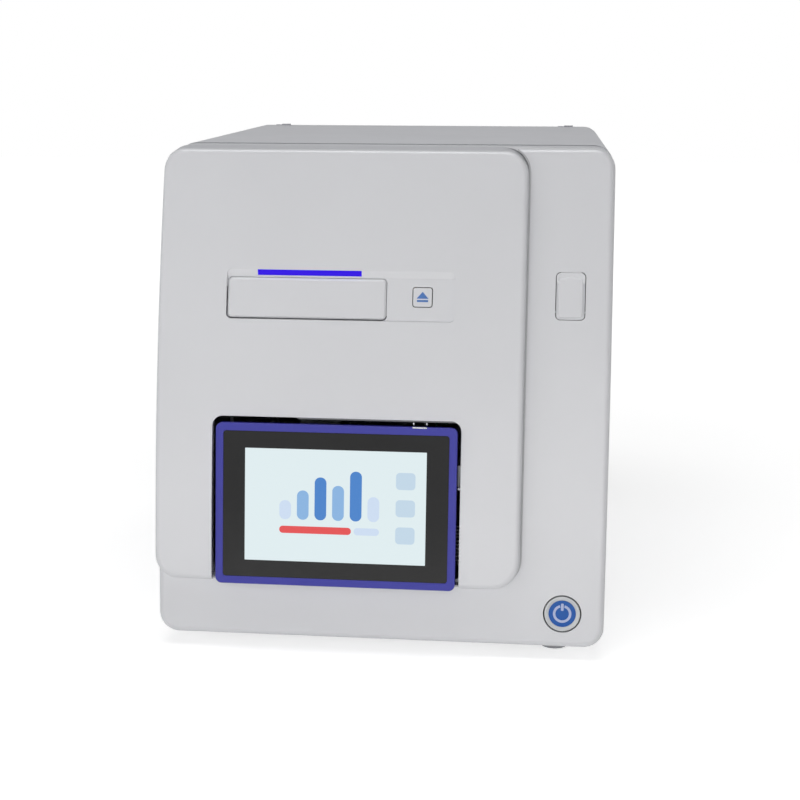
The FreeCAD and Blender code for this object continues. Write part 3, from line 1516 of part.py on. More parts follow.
def filter_motor():
    """Small motor of the filter wheel, with a foot on the optics shelf."""
    part = wheel_body("filter_motor", 13.4)
    pad(part, "XZ", 0, 34, (rounded, 0, 0, 22, 22, 2))
    foot = shelf_top() - s.optics_axis + 0.1
    pad(part, "XZ", 4, 24, (rectangle, 0, (foot - 10) / 2, 14, -10 - foot))
    pad(part, "XZ", 4, 24, (rectangle, 0, foot + 1.5, 34, 3))
    cut(part, "XZ", -1, 16, (circle, 0, 0, 2.56))
    return part


def camera():
    """Camera with its lens, both on the optical axis behind the filter wheel."""
    part = new_body("camera", s.tray_middle, s.hood_rear, s.optics_axis)
    outline = [(0, 12), (s.lens_radius - 2, 12), (s.lens_radius, 14), (s.lens_radius, 24),
               (s.lens_radius - 1, 25), (s.lens_radius - 1, 38), (s.lens_radius, 39), (s.lens_radius, 52),
               (0, 52)]
    revolve(part, "XY", (polygon, outline), "Y")
    pad(part, "XZ", 51, 42, (rounded, 0, 0, 56, 56, 5))
    slots = [(rectangle, 0, -18 + 6 * row, 60, 2.4) for row in range(7)]
    cut(part, "XZ", 84, 10, *slots)
    return part


def optics_shelf():
    """Folded shelf between the frame plates for the camera and the wheel's motor."""
    part = new_body("optics_shelf")
    left = s.frame_left + s.frame_thick + s.fit_gap
    right = s.frame_right - s.frame_thick - s.fit_gap
    middle_x = (left + right) / 2
    start = s.hood_rear + 12
    pad(part, "XY", shelf_top() - s.sheet_wall, s.sheet_wall,
        (rectangle, middle_x, start + 50, right - left, 100))
    for x in (left, right - s.sheet_wall):
        pad(part, "YZ", x, s.sheet_wall, (rectangle, start + 50, shelf_top() - 8, 100, 13))
    return part


def lamp_bars():
    """Two bars of lamps low inside the imaging hood."""
    bars = []
    for number, side in enumerate((-1, 1)):
        reach = s.hood_half - s.hood_wall - 0.2
        part = new_body(f"lamp_bar_{number + 1}", s.tray_middle + side * (reach - 3), s.plate_y + 6, s.hood_low)
        pad(part, "XY", 3, 6, (rectangle, 0, 0, 6, 70))
        lamps = [(circle, 0, -28 + 14 * lamp, 1.8) for lamp in range(5)]
        pad(part, "XY", 2, 1.2, *lamps)
        bars.append(part)
    return gather("lamp_bars", *bars)


def frame_plates():
    """Two upright plates on the base pan that carry the deck and the imaging module."""
    plates = []
    low = s.sheet_wall + s.fit_gap
    for number, x in enumerate((s.frame_left, s.frame_right - s.frame_thick)):
        part = new_body(f"frame_plate_{number + 1}")
        pad(part, "YZ", x, s.frame_thick,
            (polygon, [(150, low), (s.frame_back, low), (s.frame_back, s.frame_high),
                       (s.frame_front, s.frame_high), (s.frame_front, 66), (150, 20)]),
            *[(circle, 190 + 55 * column, 60 + 60 * row, 20) for column in range(3) for row in range(3)])
        inward = x + s.frame_thick - 0.5 if number == 0 else x - 14.5
        pad(part, "XY", low, 3, (rectangle, inward + 7.5, (s.frame_back + 150) / 2, 15,
                                 s.frame_back - 150))
        plates.append(part)
    return gather("frame_plates", *plates)


# The back: fans, mains module, ports, supply and board.


def fan_front():
    return s.rear_face - s.sheet_wall - s.fan_depth - s.fit_gap


def fan_frame(label, x):
    part = new_body(label, x, fan_front(), s.fan_z)
    corner = s.fan_size / 2 - 5
    screws = [(circle, a * corner, b * corner, 2.2) for a in (-1, 1) for b in (-1, 1)]
    pad(part, "XZ", 0, s.fan_depth, (rounded, 0, 0, s.fan_size, s.fan_size, 4),
        (circle, 0, 0, s.fan_bore), *screws)
    strut = s.fan_bore - 10
    pad(part, "XZ", s.fan_depth - 3, 3, (circle, 0, 0, s.fan_hub))
    for side in (-1, 1):
        pad(part, "XZ", s.fan_depth - 3, 3, (rectangle, side * (s.fan_bore + 10) / 2, 0, strut, 5))
        pad(part, "XZ", s.fan_depth - 3, 3, (rectangle, 0, side * (s.fan_bore + 10) / 2, 5, strut))
    cut(part, "XZ", s.fan_depth - 4, 3, (circle, 0, 0, 2.06))
    return part


def fan_frames():
    return gather("fan_frames", fan_frame("fan_frame_left", s.fan_left),
                  fan_frame("fan_frame_right", s.fan_right))


def fan_rotor(label, x):
    """Hub with seven slanted blades and a short axle that runs in the frame's hub."""
    part = new_body(label, x, fan_front(), s.fan_z)
    tip = s.fan_bore - s.fan_tip_gap
    deep = s.fan_depth - 7
    half = s.blade_half
    pad(part, "XZ", 3, deep, (circle, 0, 0, s.fan_hub))
    round_edges(part, 2, lies_in(1, 3))
    length = root(tip * tip - half * half) - s.fan_hub + 1.5
    blade = pad(part, "YZ", s.fan_hub - 1.5, length,
                (polygon, [(4, 0.8 - half), (5.6, -half), (deep + 2, half - 0.8), (deep + 0.4, half)]))
    repeat_round(part, blade, "Y", 7)
    pad(part, "XZ", deep + 2, 3.6, (circle, 0, 0, 2))
    return part


def mains_module():
    """Mains inlet with a recess for the connector, and a seat for the switch over it."""
    part = new_body("mains_module", s.inlet_x, s.rear_face, (s.inlet_z + s.switch_z) / 2)
    height = s.switch_z - s.inlet_z + (s.inlet_height + s.switch_height) / 2 - 3
    half = (s.switch_z - s.inlet_z) / 2
    pad(part, "XZ", -30, 30.5, (rectangle, 0, 0, s.inlet_width - 0.6, height - 0.6))
    pad(part, "XZ", 0.1, 2.2, (rounded, 0, 0, s.inlet_width + 6, height + 6, 3))
    cut(part, "XZ", -17, 20,
        (polygon, [(-12.2, -half - 8.3), (12.2, -half - 8.3), (12.2, -half + 4.3), (8.2, -half + 8.3),
                   (-8.2, -half + 8.3), (-12.2, -half + 4.3)]))
    pad(part, "XZ", -17.5, 14.5, (rectangle, -7, -half - 2, 2, 4), (rectangle, 7, -half - 2, 2, 4),
        (rectangle, 0, -half + 2, 2, 4))
    cut(part, "XZ", -12, 15, (rectangle, 0, half, 21.4, 12))
    cut(part, "YZ", -12.5, 25, (circle, 0, half, 1.06))
    return part


def mains_rocker():
    part = new_body("mains_rocker", s.inlet_x, s.rear_face, s.switch_z, (1, 0, 0), s.switch_throw / 2)
    pad(part, "YZ", -10.4, 20.8,
        (polygon, [(-4, -2.5), (0, -5), (3.3, -5), (2, 0), (3.3, 5), (0, 5), (-4, 2.5)]))
    pad(part, "YZ", -12.2, 24.4, (circle, 0, 0, 1))
    return part


def rear_ports():
    """Block with a network socket and a data socket, behind the rear panel's openings."""
    part = new_body("rear_ports", s.port_x, s.rear_face - s.sheet_wall, s.port_z)
    pad(part, "XZ", -22.3, 22, (rectangle, 0, 9, 24, 40))
    cut(part, "XZ", -14, 15, (rectangle, 0, 0, 12, 8.4), (rectangle, 0, 18, 11.2, 12.2))
    cut(part, "XZ", -14, 15, (rectangle, 0, -5, 6, 3))
    pad(part, "XZ", -14.5, 12, (rectangle, 0, 18, 5.4, 5.4))
    return part


def power_supply():
    """Closed power supply on the base pan's floor, with slots for air."""
    part = new_body("power_supply", 122, 300, s.sheet_wall + s.fit_gap)
    pad(part, "XY", 0, 52, (rounded, 0, 0, 96, 190, 2))
    slots = [(rectangle, -78 + 12 * row, 26, 6, 34) for row in range(14)]
    cut(part, "YZ", -49, 3, *slots)
    cut(part, "YZ", 46, 3, *slots)
    return part


def main_board():
    """Controller board on four pillars beside the right frame plate."""
    part = new_body("main_board", s.frame_right + 0.1, 245, 175)
    for y in (-82, 82):
        for z in (-72, 72):
            pad(part, "YZ", 0, 6, (circle, y, z, 3))
    pad(part, "YZ", 5.5, 1.6, (rectangle, 0, 0, 180, 160))
    pad(part, "YZ", 7, 5, (rectangle, -20, 20, 40, 40), (rectangle, 40, 30, 24, 34),
        (rectangle, 30, -40, 60, 14), (rectangle, -60, -50, 20, 30))
    pad(part, "YZ", 7, 14, (rectangle, -76, 40, 16, 50), (rectangle, 76, -20, 14, 60))
    return part


# Build every piece, check it and write it out.

PIECES = (
    front_cover, fascia, status_light, light_board, eject_button, button_board,
    power_button, power_disc, power_switch, port_flap, flap_pin, port_seat, front_sockets,
    screen_frame, screen_glass, display_panel, screen_back, screen_bracket, screen_latch,
    base_pan, housing, feet, rear_panel, rear_top_clips, panel_screws,
    tray_front, plate_tray, tray_rails, tray_runners, tray_rack, drive_pinion, drive_motor, deck_plate,
    thermal_block, heat_sink, lift_rod, lift_actuator,
    press_frame, press_window, press_rods, press_actuators,
    imaging_hood, fold_mirror, filter_wheel, filter_discs, filter_motor, camera, optics_shelf, lamp_bars,
    frame_plates, fan_frames, mains_module, mains_rocker, rear_ports, power_supply, main_board,
)


def build_all():
    built = {piece.__name__: piece() for piece in PIECES}
    built["fan_rotor_left"] = fan_rotor("fan_rotor_left", s.fan_left)
    built["fan_rotor_right"] = fan_rotor("fan_rotor_right", s.fan_right)
    doc.recompute()
    return built


def check_states():
    """Stop when any object of the document is in error or a pocket takes nothing away."""
    for item in doc.Objects:
        if "Invalid" in item.State or "Error" in item.State:
            raise RuntimeError(f"{item.Label}: {item.State}")
        if item.TypeId == "PartDesign::Pocket":
            removed = item.BaseFeature.Shape.Volume - item.Shape.Volume
            if removed < 0.1:
                raise RuntimeError(f"{item.Label} takes nothing away")


def write_pieces(built):
    os.makedirs("parts", exist_ok=True)
    for name, item in built.items():
        shape = item.Shape
        if shape.isNull() or not shape.isValid() or shape.Volume <= 0:
            raise RuntimeError(f"{name} is not a valid solid")
        shape.exportStep(f"parts/{name}.step")


pieces = build_all()
check_states()
write_pieces(pieces)
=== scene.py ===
"""Looks of a bench instrument that reads partitioned sample plates, on a pale studio floor.

The part's frame is in metres: +Z up, the front towards -Y, and the origin on the floor under
the middle of the instrument. The machine frame has the same axes in millimetres, with its
origin in the middle of the front cover's lower front edge. Outlines and depths on a face are
in millimetres as well, and a depth counts into the face.
"""
import math

import bmesh
import bpy
from mathutils import Matrix, Vector


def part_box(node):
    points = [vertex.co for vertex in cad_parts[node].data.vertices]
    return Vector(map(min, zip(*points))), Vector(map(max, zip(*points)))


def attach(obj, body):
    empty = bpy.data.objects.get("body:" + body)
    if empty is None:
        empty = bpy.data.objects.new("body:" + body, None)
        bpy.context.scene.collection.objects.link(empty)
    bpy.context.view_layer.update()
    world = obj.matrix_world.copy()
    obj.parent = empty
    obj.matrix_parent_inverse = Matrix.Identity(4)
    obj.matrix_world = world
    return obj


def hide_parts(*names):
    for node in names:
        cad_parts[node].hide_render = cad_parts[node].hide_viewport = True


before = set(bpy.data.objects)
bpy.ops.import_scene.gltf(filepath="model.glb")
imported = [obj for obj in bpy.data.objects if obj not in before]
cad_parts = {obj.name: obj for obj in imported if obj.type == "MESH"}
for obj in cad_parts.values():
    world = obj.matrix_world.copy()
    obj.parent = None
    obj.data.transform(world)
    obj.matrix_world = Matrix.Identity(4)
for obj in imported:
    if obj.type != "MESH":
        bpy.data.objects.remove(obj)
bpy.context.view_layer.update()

MM = 0.001
X, Y, Z = range(3)


def box_of(name):
    """Lowest and highest (x, y, z) of a sub-part, in millimetres of the part's frame."""
    return [tuple(value / MM for value in corner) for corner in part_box(name)]


# The case and the raised panel, seen from the front. The front line and the foot's height are
# in the part's frame, the other heights in the machine frame.
cover_low, cover_high = box_of("front_cover")
panel_low, panel_high = box_of("fascia")
FRONT_LINE = -235.5
FOOT_HEIGHT = cover_low[Z]
CASE_HALF = cover_high[X]
CASE_TOP = cover_high[Z] - FOOT_HEIGHT
CASE_CORNER = 18.0
PANEL_RIGHT = panel_high[X]
PANEL_LOW = panel_low[Z] - FOOT_HEIGHT
PANEL_GAP = 1.2
CORNER_HIGH = 21.0
CORNER_LOW = 25.0
CORNER_LEFT = 21.0

# The cover's front, seen from the side, is an arc through the machine frame's origin. The
# raised panel's face follows it at a constant distance, and so does the floor of its recess.
CURVE_RADIUS = 1635.0
CURVE_Z = -132.749
CURVE_Y = math.sqrt(CURVE_RADIUS ** 2 - CURVE_Z ** 2)
PANEL_PROUD = 12.5
RECESS_DEPTH = 2.5

# The screen, and the middles of the power button, the eject button and the port flap.
SCREEN_X = -37.5
SCREEN_REACH = 11.0
SCREEN_LOW = 54.0
SCREEN_LEAN = 8.4
SCREEN_HEIGHT = 143.2
POWER_X, POWER_Z = 163.1, 31.4
EJECT_X, EJECT_Z = 35.0, 304.0
FLAP_X, FLAP_Z = 163.3, 305.6


def machine(x, y, z):
    """A point of the machine frame, in the part's frame."""
    return Vector((x * MM, (y + FRONT_LINE) * MM, (z + FOOT_HEIGHT) * MM))


def front_y(height):
    """Y of the cover's face at a height."""
    return CURVE_Y - math.sqrt(CURVE_RADIUS ** 2 - (height - CURVE_Z) ** 2)


def panel_y(height):
    """Y of the raised panel's face at a height."""
    return front_y(height) - PANEL_PROUD


def lean_at(height):
    """Angle by which the cover leans back at a height."""
    return math.asin((height - CURVE_Z) / CURVE_RADIUS)


def face_place(x, y, z, lean=0.0):
    """Matrix from a face's own axes (across, depth, up) to the part's frame."""
    turn = Matrix.Rotation(-lean, 4, "X")
    return Matrix.Translation(machine(x, y, z)) @ turn @ Matrix.Scale(MM, 4)


def on_cover(x, height):
    return face_place(x, front_y(height), height, lean_at(height))


def on_recess_floor(x, height):
    return face_place(x, panel_y(height) + RECESS_DEPTH, height, lean_at(height))


def on_screen():
    """The screen's face, with its origin in the middle of the lower edge."""
    return face_place(SCREEN_X, -SCREEN_REACH, SCREEN_LOW, math.radians(SCREEN_LEAN))


# Materials. Each is a small node tree round one glossy, metallic or glass shader. Colours are
# given in the eight-bit values of a picture, and sizes in metres.

MOTTLE_LOW, MOTTLE_HIGH = 0.3, 0.7
SCRATCH_RATIO = 30


def linear(colour):
    """A colour in linear values, with full opacity."""
    values = []
    for part in colour:
        share = part / 255
        values.append(share / 12.92 if share <= 0.04045 else ((share + 0.055) / 1.055) ** 2.4)
    return (*values, 1.0)


def shader_of(material):
    return material.node_tree.nodes["Principled BSDF"]


def new_material(name, colour, roughness, metallic=0.0, specular=0.5):
    material = bpy.data.materials.new(name)
    material.use_nodes = True
    inputs = shader_of(material).inputs
    inputs["Base Color"].default_value = linear(colour)
    inputs["Roughness"].default_value = roughness
    inputs["Metallic"].default_value = metallic
    inputs["Specular IOR Level"].default_value = specular
    return material


def add_node(tree, kind, **settings):
    """A new node; settings with a capital letter are its inputs, the others its properties."""
    node = tree.nodes.new(kind)
    for name, value in settings.items():
        if name[0].isupper():
            node.inputs[name.replace("_", " ")].default_value = value
        else:
            setattr(node, name, value)
    return node


def add_noise(tree, size, detail, stretch=(1, 1, 1)):
    """Noise that is fixed to the object; size is its period."""
    place = add_node(tree, "ShaderNodeTexCoord")
    scale = add_node(tree, "ShaderNodeMapping", Scale=stretch)
    noise = add_node(tree, "ShaderNodeTexNoise", Scale=1 / size, Detail=detail)
    tree.links.new(place.outputs["Object"], scale.inputs["Vector"])
    tree.links.new(scale.outputs["Vector"], noise.inputs["Vector"])
    return noise.outputs["Fac"]


def grain(material, size, depth, stretch=(1, 1, 1), detail=3.0):
    """Fine relief; depth is the height of its bumps."""
    tree = material.node_tree
    bump = add_node(tree, "ShaderNodeBump", Strength=1.0, Distance=depth)
    tree.links.new(add_noise(tree, size, detail, stretch), bump.inputs["Height"])
    tree.links.new(bump.outputs["Normal"], shader_of(material).inputs["Normal"])


def mottle(material, colour, spread, size):
    """Slow, faint change of the base colour over the surface."""
    tree = material.node_tree
    ramp = add_node(tree, "ShaderNodeValToRGB")
    low, high = ramp.color_ramp.elements
    low.position = MOTTLE_LOW
    low.color = linear([max(0, part - spread) for part in colour])
    high.position = MOTTLE_HIGH
    high.color = linear([min(255, part + spread) for part in colour])
    tree.links.new(add_noise(tree, size, detail=2.0), ramp.inputs["Fac"])
    tree.links.new(ramp.outputs["Color"], shader_of(material).inputs["Base Color"])


def uneven_gloss(material, low, high, size):
    """Roughness that wanders between two values."""
    tree = material.node_tree
    span = add_node(tree, "ShaderNodeMapRange", To_Min=low, To_Max=high)
    tree.links.new(add_noise(tree, size, detail=4.0), span.inputs["Value"])
    tree.links.new(span.outputs["Result"], shader_of(material).inputs["Roughness"])


def painted_case():
    """Pale grey lacquer on the moulded front, with a faint orange-peel relief."""
    colour = (212, 213, 217)
    material = new_material("case_lacquer", colour, roughness=0.32, metallic=0.08)
    mottle(material, colour, spread=1, size=0.11)
    uneven_gloss(material, low=0.3, high=0.34, size=0.03)
    grain(material, size=0.0014, depth=0.000004)
    return material


def painted_sheet():
    """Powder coat on the sheet steel, a little darker and rougher than the front; the darker colour
    is partly painted shade of the up-facing top.
    """
    colour = (196, 197, 202)
    material = new_material("sheet_powder_coat", colour, roughness=0.5, specular=0.3)
    mottle(material, colour, spread=1.5, size=0.09)
    uneven_gloss(material, low=0.46, high=0.56, size=0.02)
    grain(material, size=0.0009, depth=0.00003)
    return material


def moulded_black():
    colour = (24, 24, 26)
    material = new_material("moulded_black", colour, roughness=0.5)
    mottle(material, colour, spread=3, size=0.02)
    grain(material, size=0.0006, depth=0.00004)
    return material


def blue_gloss():
    """Coloured lacquer of the screen's frame."""
    colour = (53, 54, 154)
    material = new_material("frame_blue", colour, roughness=0.34, specular=0.4)
    mottle(material, colour, spread=2, size=0.04)
    grain(material, size=0.0008, depth=0.000012)
    return material


def glass_border():
    """Dark printed border behind the screen's front glass."""
    colour = (32, 32, 33)
    material = new_material("glass_border", colour, roughness=0.14, specular=0.25)
    mottle(material, colour, spread=1.5, size=0.05)
    return material


def lit(name, colour, strength, roughness=0.3, specular=0.5):
    """A surface that glows in its own colour; strength is the share that is glow."""
    unlit = [part * (1 - strength) for part in colour]
    material = new_material(name, unlit, roughness, specular=specular)
    inputs = shader_of(material).inputs
    inputs["Emission Color"].default_value = linear(colour)
    inputs["Emission Strength"].default_value = strength
    return material


def silver_lacquer():
    colour = (192, 194, 196)
    material = new_material("silver_lacquer", colour, roughness=0.42, metallic=0.4)
    uneven_gloss(material, low=0.38, high=0.46, size=0.01)
    grain(material, size=0.0005, depth=0.000008)
    return material


def disc_blue():
    colour = (30, 86, 166)
    material = new_material("disc_blue", colour, roughness=0.35, specular=0.35)
    mottle(material, colour, spread=3, size=0.008)
    return material


def mark_blue():
    colour = (74, 116, 182)
    material = new_material("mark_blue", colour, roughness=0.4)
    mottle(material, colour, spread=3, size=0.004)
    return material


def satin(name, colour):
    """Satin surface of the symbols and the smallest pieces."""
    material = new_material(name, colour, roughness=0.45)
    mottle(material, colour, spread=3, size=0.004)
    return material


# Grey of the strip in the raised panel's gap: a painted shade of that gap.
def gap_shade_grey():
    material = new_material("gap_shade_grey", (186, 187, 190), roughness=0.8)
    grain(material, size=0.0005, depth=0.00006)
    return material


def foot_rubber():
    material = new_material("foot_rubber", (150, 152, 156), roughness=0.7)
    grain(material, size=0.0008, depth=0.00005)
    return material


def brushed_metal(name, colour, direction):
    """Metal with fine scratches along one axis."""
    material = new_material(name, colour, roughness=0.35, metallic=0.9)
    stretch = [1 if axis == direction else SCRATCH_RATIO for axis in range(3)]
    grain(material, size=0.01, depth=0.00002, stretch=stretch, detail=6.0)
    return material


def board_green():
    colour = (26, 92, 58)
    material = new_material("board_green", colour, roughness=0.4)
    mottle(material, colour, spread=8, size=0.006)
    return material


def clear_glass(name, colour):
    material = new_material(name, colour, roughness=0.05)
    shader_of(material).inputs["Transmission Weight"].default_value = 0.9
    return material


MATERIALS = {
    "case": painted_case(),
    "sheet": painted_sheet(),
    "black": moulded_black(),
    "blue": blue_gloss(),
    "border": glass_border(),
    "display": lit("display_glow", (228, 242, 245), strength=0.9),
    "light": lit("status_glow", (50, 14, 230), strength=0.97, specular=0.1),
    "silver": silver_lacquer(),
    "disc": disc_blue(),
    "mark": mark_blue(),
    "rubber": foot_rubber(),
    "steel": brushed_metal("brushed_steel", (176, 178, 182), X),
    "aluminium": brushed_metal("machined_aluminium", (206, 208, 212), Y),
    "anodised": brushed_metal("black_anodised", (34, 34, 38), Y),
    "board": board_green(),
    "brass": brushed_metal("brass", (200, 162, 92), Z),
    "clear": clear_glass("clear_glass", (235, 240, 240)),
    "filter": clear_glass("filter_glass", (160, 130, 190)),
    "pale_blue": lit("pale_blue", (208, 225, 247), strength=0.9),
    "mid_blue": lit("mid_blue", (136, 181, 228), strength=0.9),
    "deep_blue": lit("deep_blue", (60, 128, 205), strength=0.9),
    "field_blue": lit("field_blue", (197, 219, 236), strength=0.9),
    "coral": lit("coral", (232, 70, 72), strength=0.9),
    "symbol": satin("symbol_print", (176, 186, 216)),
    "gap_shade": gap_shade_grey(),
    # Pale satin of the painted glints in the screen's gap.
    "glint_pale": satin("painted_glint_satin", (222, 224, 226)),
    "grey_plastic": satin("grey_plastic", (112, 114, 116)),
    "mirror": new_material("mirror_coating", (235, 236, 238), roughness=0.03, metallic=1.0),
    "latch": brushed_metal("latch_metal", (214, 216, 220), X),
}

# The sub-parts that each material is for.
NODE_MATERIALS = {
    "case": "front_cover fascia tray_front port_flap eject_button",
    "sheet": "housing base_pan rear_panel rear_top_clips",
    "black": "screen_back power_switch port_seat fan_frames fan_rotor_left fan_rotor_right "
             "mains_module mains_rocker lamp_bars",
    "blue": "screen_frame",
    "border": "screen_glass",
    "display": "display_panel",
    "light": "status_light",
    "silver": "power_button",
    "latch": "screen_latch",
    "disc": "power_disc",
    "rubber": "feet",
    "steel": "panel_screws screen_bracket frame_plates deck_plate flap_pin tray_rails lift_rod "
             "press_rods optics_shelf drive_motor filter_motor front_sockets rear_ports",
    "aluminium": "plate_tray thermal_block heat_sink power_supply tray_runners tray_rack "
                 "lift_actuator press_actuators",
    "anodised": "imaging_hood press_frame filter_wheel camera",
    "board": "light_board button_board main_board",
    "brass": "drive_pinion",
    "clear": "press_window",
    "filter": "filter_discs",
    "mirror": "fold_mirror",
}


def dress_nodes():
    for key, names in NODE_MATERIALS.items():
        for name in names.split():
            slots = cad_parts[name].data.materials
            slots.clear()
            slots.append(MATERIALS[key])


dress_nodes()


# Outlines, as lists of (across, up) points, anticlockwise.


def arc(x, y, radius, start, end, steps):
    """Points on an arc; angles in degrees from the first axis."""
    points = []
    for step in range(steps + 1):
        angle = math.radians(start + (end - start) * step / steps)
        points.append((x + radius * math.cos(angle), y + radius * math.sin(angle)))
    return points


def rounded_box(x, y, width, height, radius, steps=8):
    """A rectangle round a middle, with rounded corners."""
    points = []
    for across, up, start in ((1, 1, 0), (-1, 1, 90), (-1, -1, 180), (1, -1, 270)):
        points += arc(x + across * (width / 2 - radius), y + up * (height / 2 - radius), radius,
                      start, start + 90, steps)
    return points


def rounded_corners(corners, radius, steps=4):
    """A polygon with each of its corners rounded; corners run anticlockwise."""
    points = []
    count = len(corners)
    for index in range(count):
        before = Vector(corners[index - 1])
        here = Vector(corners[index])
        after = Vector(corners[(index + 1) % count])
        first = (before - here).normalized()
        second = (after - here).normalized()
        reach = radius / math.tan(first.angle(second) / 2)
        start = here + first * reach
        end = here + second * reach
        for step in range(steps + 1):
            share = step / steps
            near = start.lerp(here, share)
            far = here.lerp(end, share)
            points.append(tuple(near.lerp(far, share)))
    return points


def shrink(outline, inward):
    """An outline with each point moved towards the middle."""
    middle = Vector((sum(x for x, up in outline), sum(up for x, up in outline))) / len(outline)
    points = []
    for point in outline:
        offset = Vector(point) - middle
        points.append(tuple(middle + offset * (1 - inward / offset.length)))
    return points


# Meshes.

SHARP_ANGLE = 35
EDGE_SHARES = (0.0, 0.3, 0.7, 1.0)


def ring_at(mesh, place, outline, depth):
    """A ring of vertices along an outline; depth is one number or one for each point."""
    depths = depth if isinstance(depth, list) else [depth] * len(outline)
    return [mesh.verts.new(place @ Vector((x, deep, up))) for (x, up), deep in zip(outline, depths)]


def close_rings(mesh, rings):
    """A closed solid through rings of vertices, one after the other, with a face at each end."""
    count = len(rings[0])
    for first, second in zip(rings, rings[1:]):
        for index in range(count):
            after = (index + 1) % count
            mesh.faces.new((first[index], first[after], second[after], second[index]))
    mesh.faces.new(rings[-1])
    mesh.faces.new(list(reversed(rings[0])))


def add_prism(mesh, place, outline, near, far, edge=0.0):
    """A solid between two depths, with its near edge rounded off by a small radius."""
    rings = [ring_at(mesh, place, outline, far)]
    if edge:
        for share in EDGE_SHARES:
            angle = share * math.pi / 2
            shrunk = shrink(outline, edge * (1 - math.cos(angle)))
            rings.append(ring_at(mesh, place, shrunk, near + edge * (1 - math.sin(angle))))
    else:
        rings.append(ring_at(mesh, place, outline, near))
    close_rings(mesh, rings)


def add_open_strip(mesh, place, inner, outer, near, far):
    """A solid band between two open lines of points with the same count."""
    lines = []
    for line, depth in ((inner, near), (outer, near), (outer, far), (inner, far)):
        lines.append(ring_at(mesh, place, line, depth))
    close_rings(mesh, list(zip(*lines)))


def finish_piece(name, mesh, material, body, sharp_angle=SHARP_ANGLE):
    """Turn a mesh under construction into a piece that rides on a body."""
    bmesh.ops.recalc_face_normals(mesh, faces=mesh.faces)
    data = bpy.data.meshes.new(name)
    mesh.to_mesh(data)
    mesh.free()
    data.materials.append(MATERIALS[material])
    data.shade_smooth()
    data.set_sharp_from_angle(angle=math.radians(sharp_angle))
    piece = bpy.data.objects.new(name, data)
    bpy.context.scene.collection.objects.link(piece)
    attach(piece, body)
    return piece


# The screen's picture: a lit field on the glass, with a plain chart in thin solids before it.

GLASS_FACE = 0.3
PICTURE_THICKNESS = 0.08
PICTURE_FACE = GLASS_FACE - PICTURE_THICKNESS
DISPLAY_WIDTH = 160.0
DISPLAY_HEIGHT = 99.6
DISPLAY_CORNER = 0.4
INK = 0.06


def display_picture():
    mesh = bmesh.new()
    outline = rounded_box(0, SCREEN_HEIGHT / 2, DISPLAY_WIDTH, DISPLAY_HEIGHT, DISPLAY_CORNER,
                          steps=3)
    add_prism(mesh, on_screen(), outline, PICTURE_FACE, GLASS_FACE)
    finish_piece("display_picture", mesh, "display", "case")


def drawn_shapes(name, tint, outlines):
    """Shapes of one tint on the lit picture."""
    mesh = bmesh.new()
    for outline in outlines:
        add_prism(mesh, on_screen(), outline, PICTURE_FACE - INK, PICTURE_FACE)
    finish_piece(name, mesh, tint, "case")


CHART_LEFT = -44.0
CHART_STEP = 15.6
CHART_FOOT = 59.0
BAR_WIDTH = 10.4
BAR_CORNER = 5.0
BARS = ((17.0, "pale_blue"), (26.0, "mid_blue"), (38.0, "deep_blue"),
        (31.0, "mid_blue"), (44.0, "deep_blue"), (22.0, "pale_blue"))


def chart_bars():
    """Upright bars with round ends, in three blues, one piece for each blue."""
    for tint in ("pale_blue", "mid_blue", "deep_blue"):
        outlines = []
        for number, (height, bar_tint) in enumerate(BARS):
            if bar_tint == tint:
                x = CHART_LEFT + number * CHART_STEP
                middle = CHART_FOOT + height / 2
                outlines.append(rounded_box(x, middle, BAR_WIDTH, height, BAR_CORNER))
        drawn_shapes("chart_bars_" + tint, tint, outlines)


PROGRESS_SHARE = 0.72
PROGRESS_DROP = 9.0
PROGRESS_HEIGHT = 6.4
PROGRESS_CORNER = 3.1
PROGRESS_GAP = 2.4


def chart_base():
    """Red bar under the chart for the share that is done, and a pale one for the rest."""
    left = CHART_LEFT - BAR_WIDTH / 2
    length = CHART_STEP * (len(BARS) - 1) + BAR_WIDTH
    done = length * PROGRESS_SHARE
    rest = length - done - PROGRESS_GAP
    for name, tint, middle, width in (("chart_progress", "coral", left + done / 2, done),
                                      ("chart_track", "pale_blue", left + length - rest / 2, rest)):
        level = CHART_FOOT - PROGRESS_DROP
        outline = rounded_box(middle, level, width, PROGRESS_HEIGHT, PROGRESS_CORNER)
        drawn_shapes(name, tint, [outline])


FIELD_COUNT = 3
FIELD_X = 62
FIELD_STEP = 24
FIELD_WIDTH = 17
FIELD_HEIGHT = 15
FIELD_CORNER = 3.4


def display_touch_fields():
    """Rounded touch fields down the right side of the picture."""
    outlines = []
    for number in range(FIELD_COUNT):
        middle = SCREEN_HEIGHT / 2 + FIELD_STEP - FIELD_STEP * number
        outlines.append(rounded_box(FIELD_X, middle, FIELD_WIDTH, FIELD_HEIGHT, FIELD_CORNER))
    drawn_shapes("touch_fields", "field_blue", outlines)


# The symbols on the two buttons.

PRINT = 0.05
DISC_FACE = 0.5
RING_OUTER = 8.1
RING_INNER = 5.9
RING_OPEN = 16
RING_STEPS = 64
STROKE_MIDDLE = 6.0
STROKE_WIDTH = 2.4
STROKE_HEIGHT = 6.6
STROKE_CORNER = 0.9


def power_symbol():
    """Open ring with an upright stroke, raised a little on the coloured disc."""
    place = on_cover(POWER_X, POWER_Z)
    start, end = 90 + RING_OPEN, 450 - RING_OPEN
    inner = arc(0, 0, RING_INNER, start, end, RING_STEPS)
    outer = arc(0, 0, RING_OUTER, start, end, RING_STEPS)
    stroke = rounded_box(0, STROKE_MIDDLE, STROKE_WIDTH, STROKE_HEIGHT, STROKE_CORNER)
    mesh = bmesh.new()
    add_open_strip(mesh, place, inner, outer, DISC_FACE - PRINT, DISC_FACE)
    add_prism(mesh, place, stroke, DISC_FACE - PRINT, DISC_FACE)
    finish_piece("power_symbol", mesh, "symbol", "power")


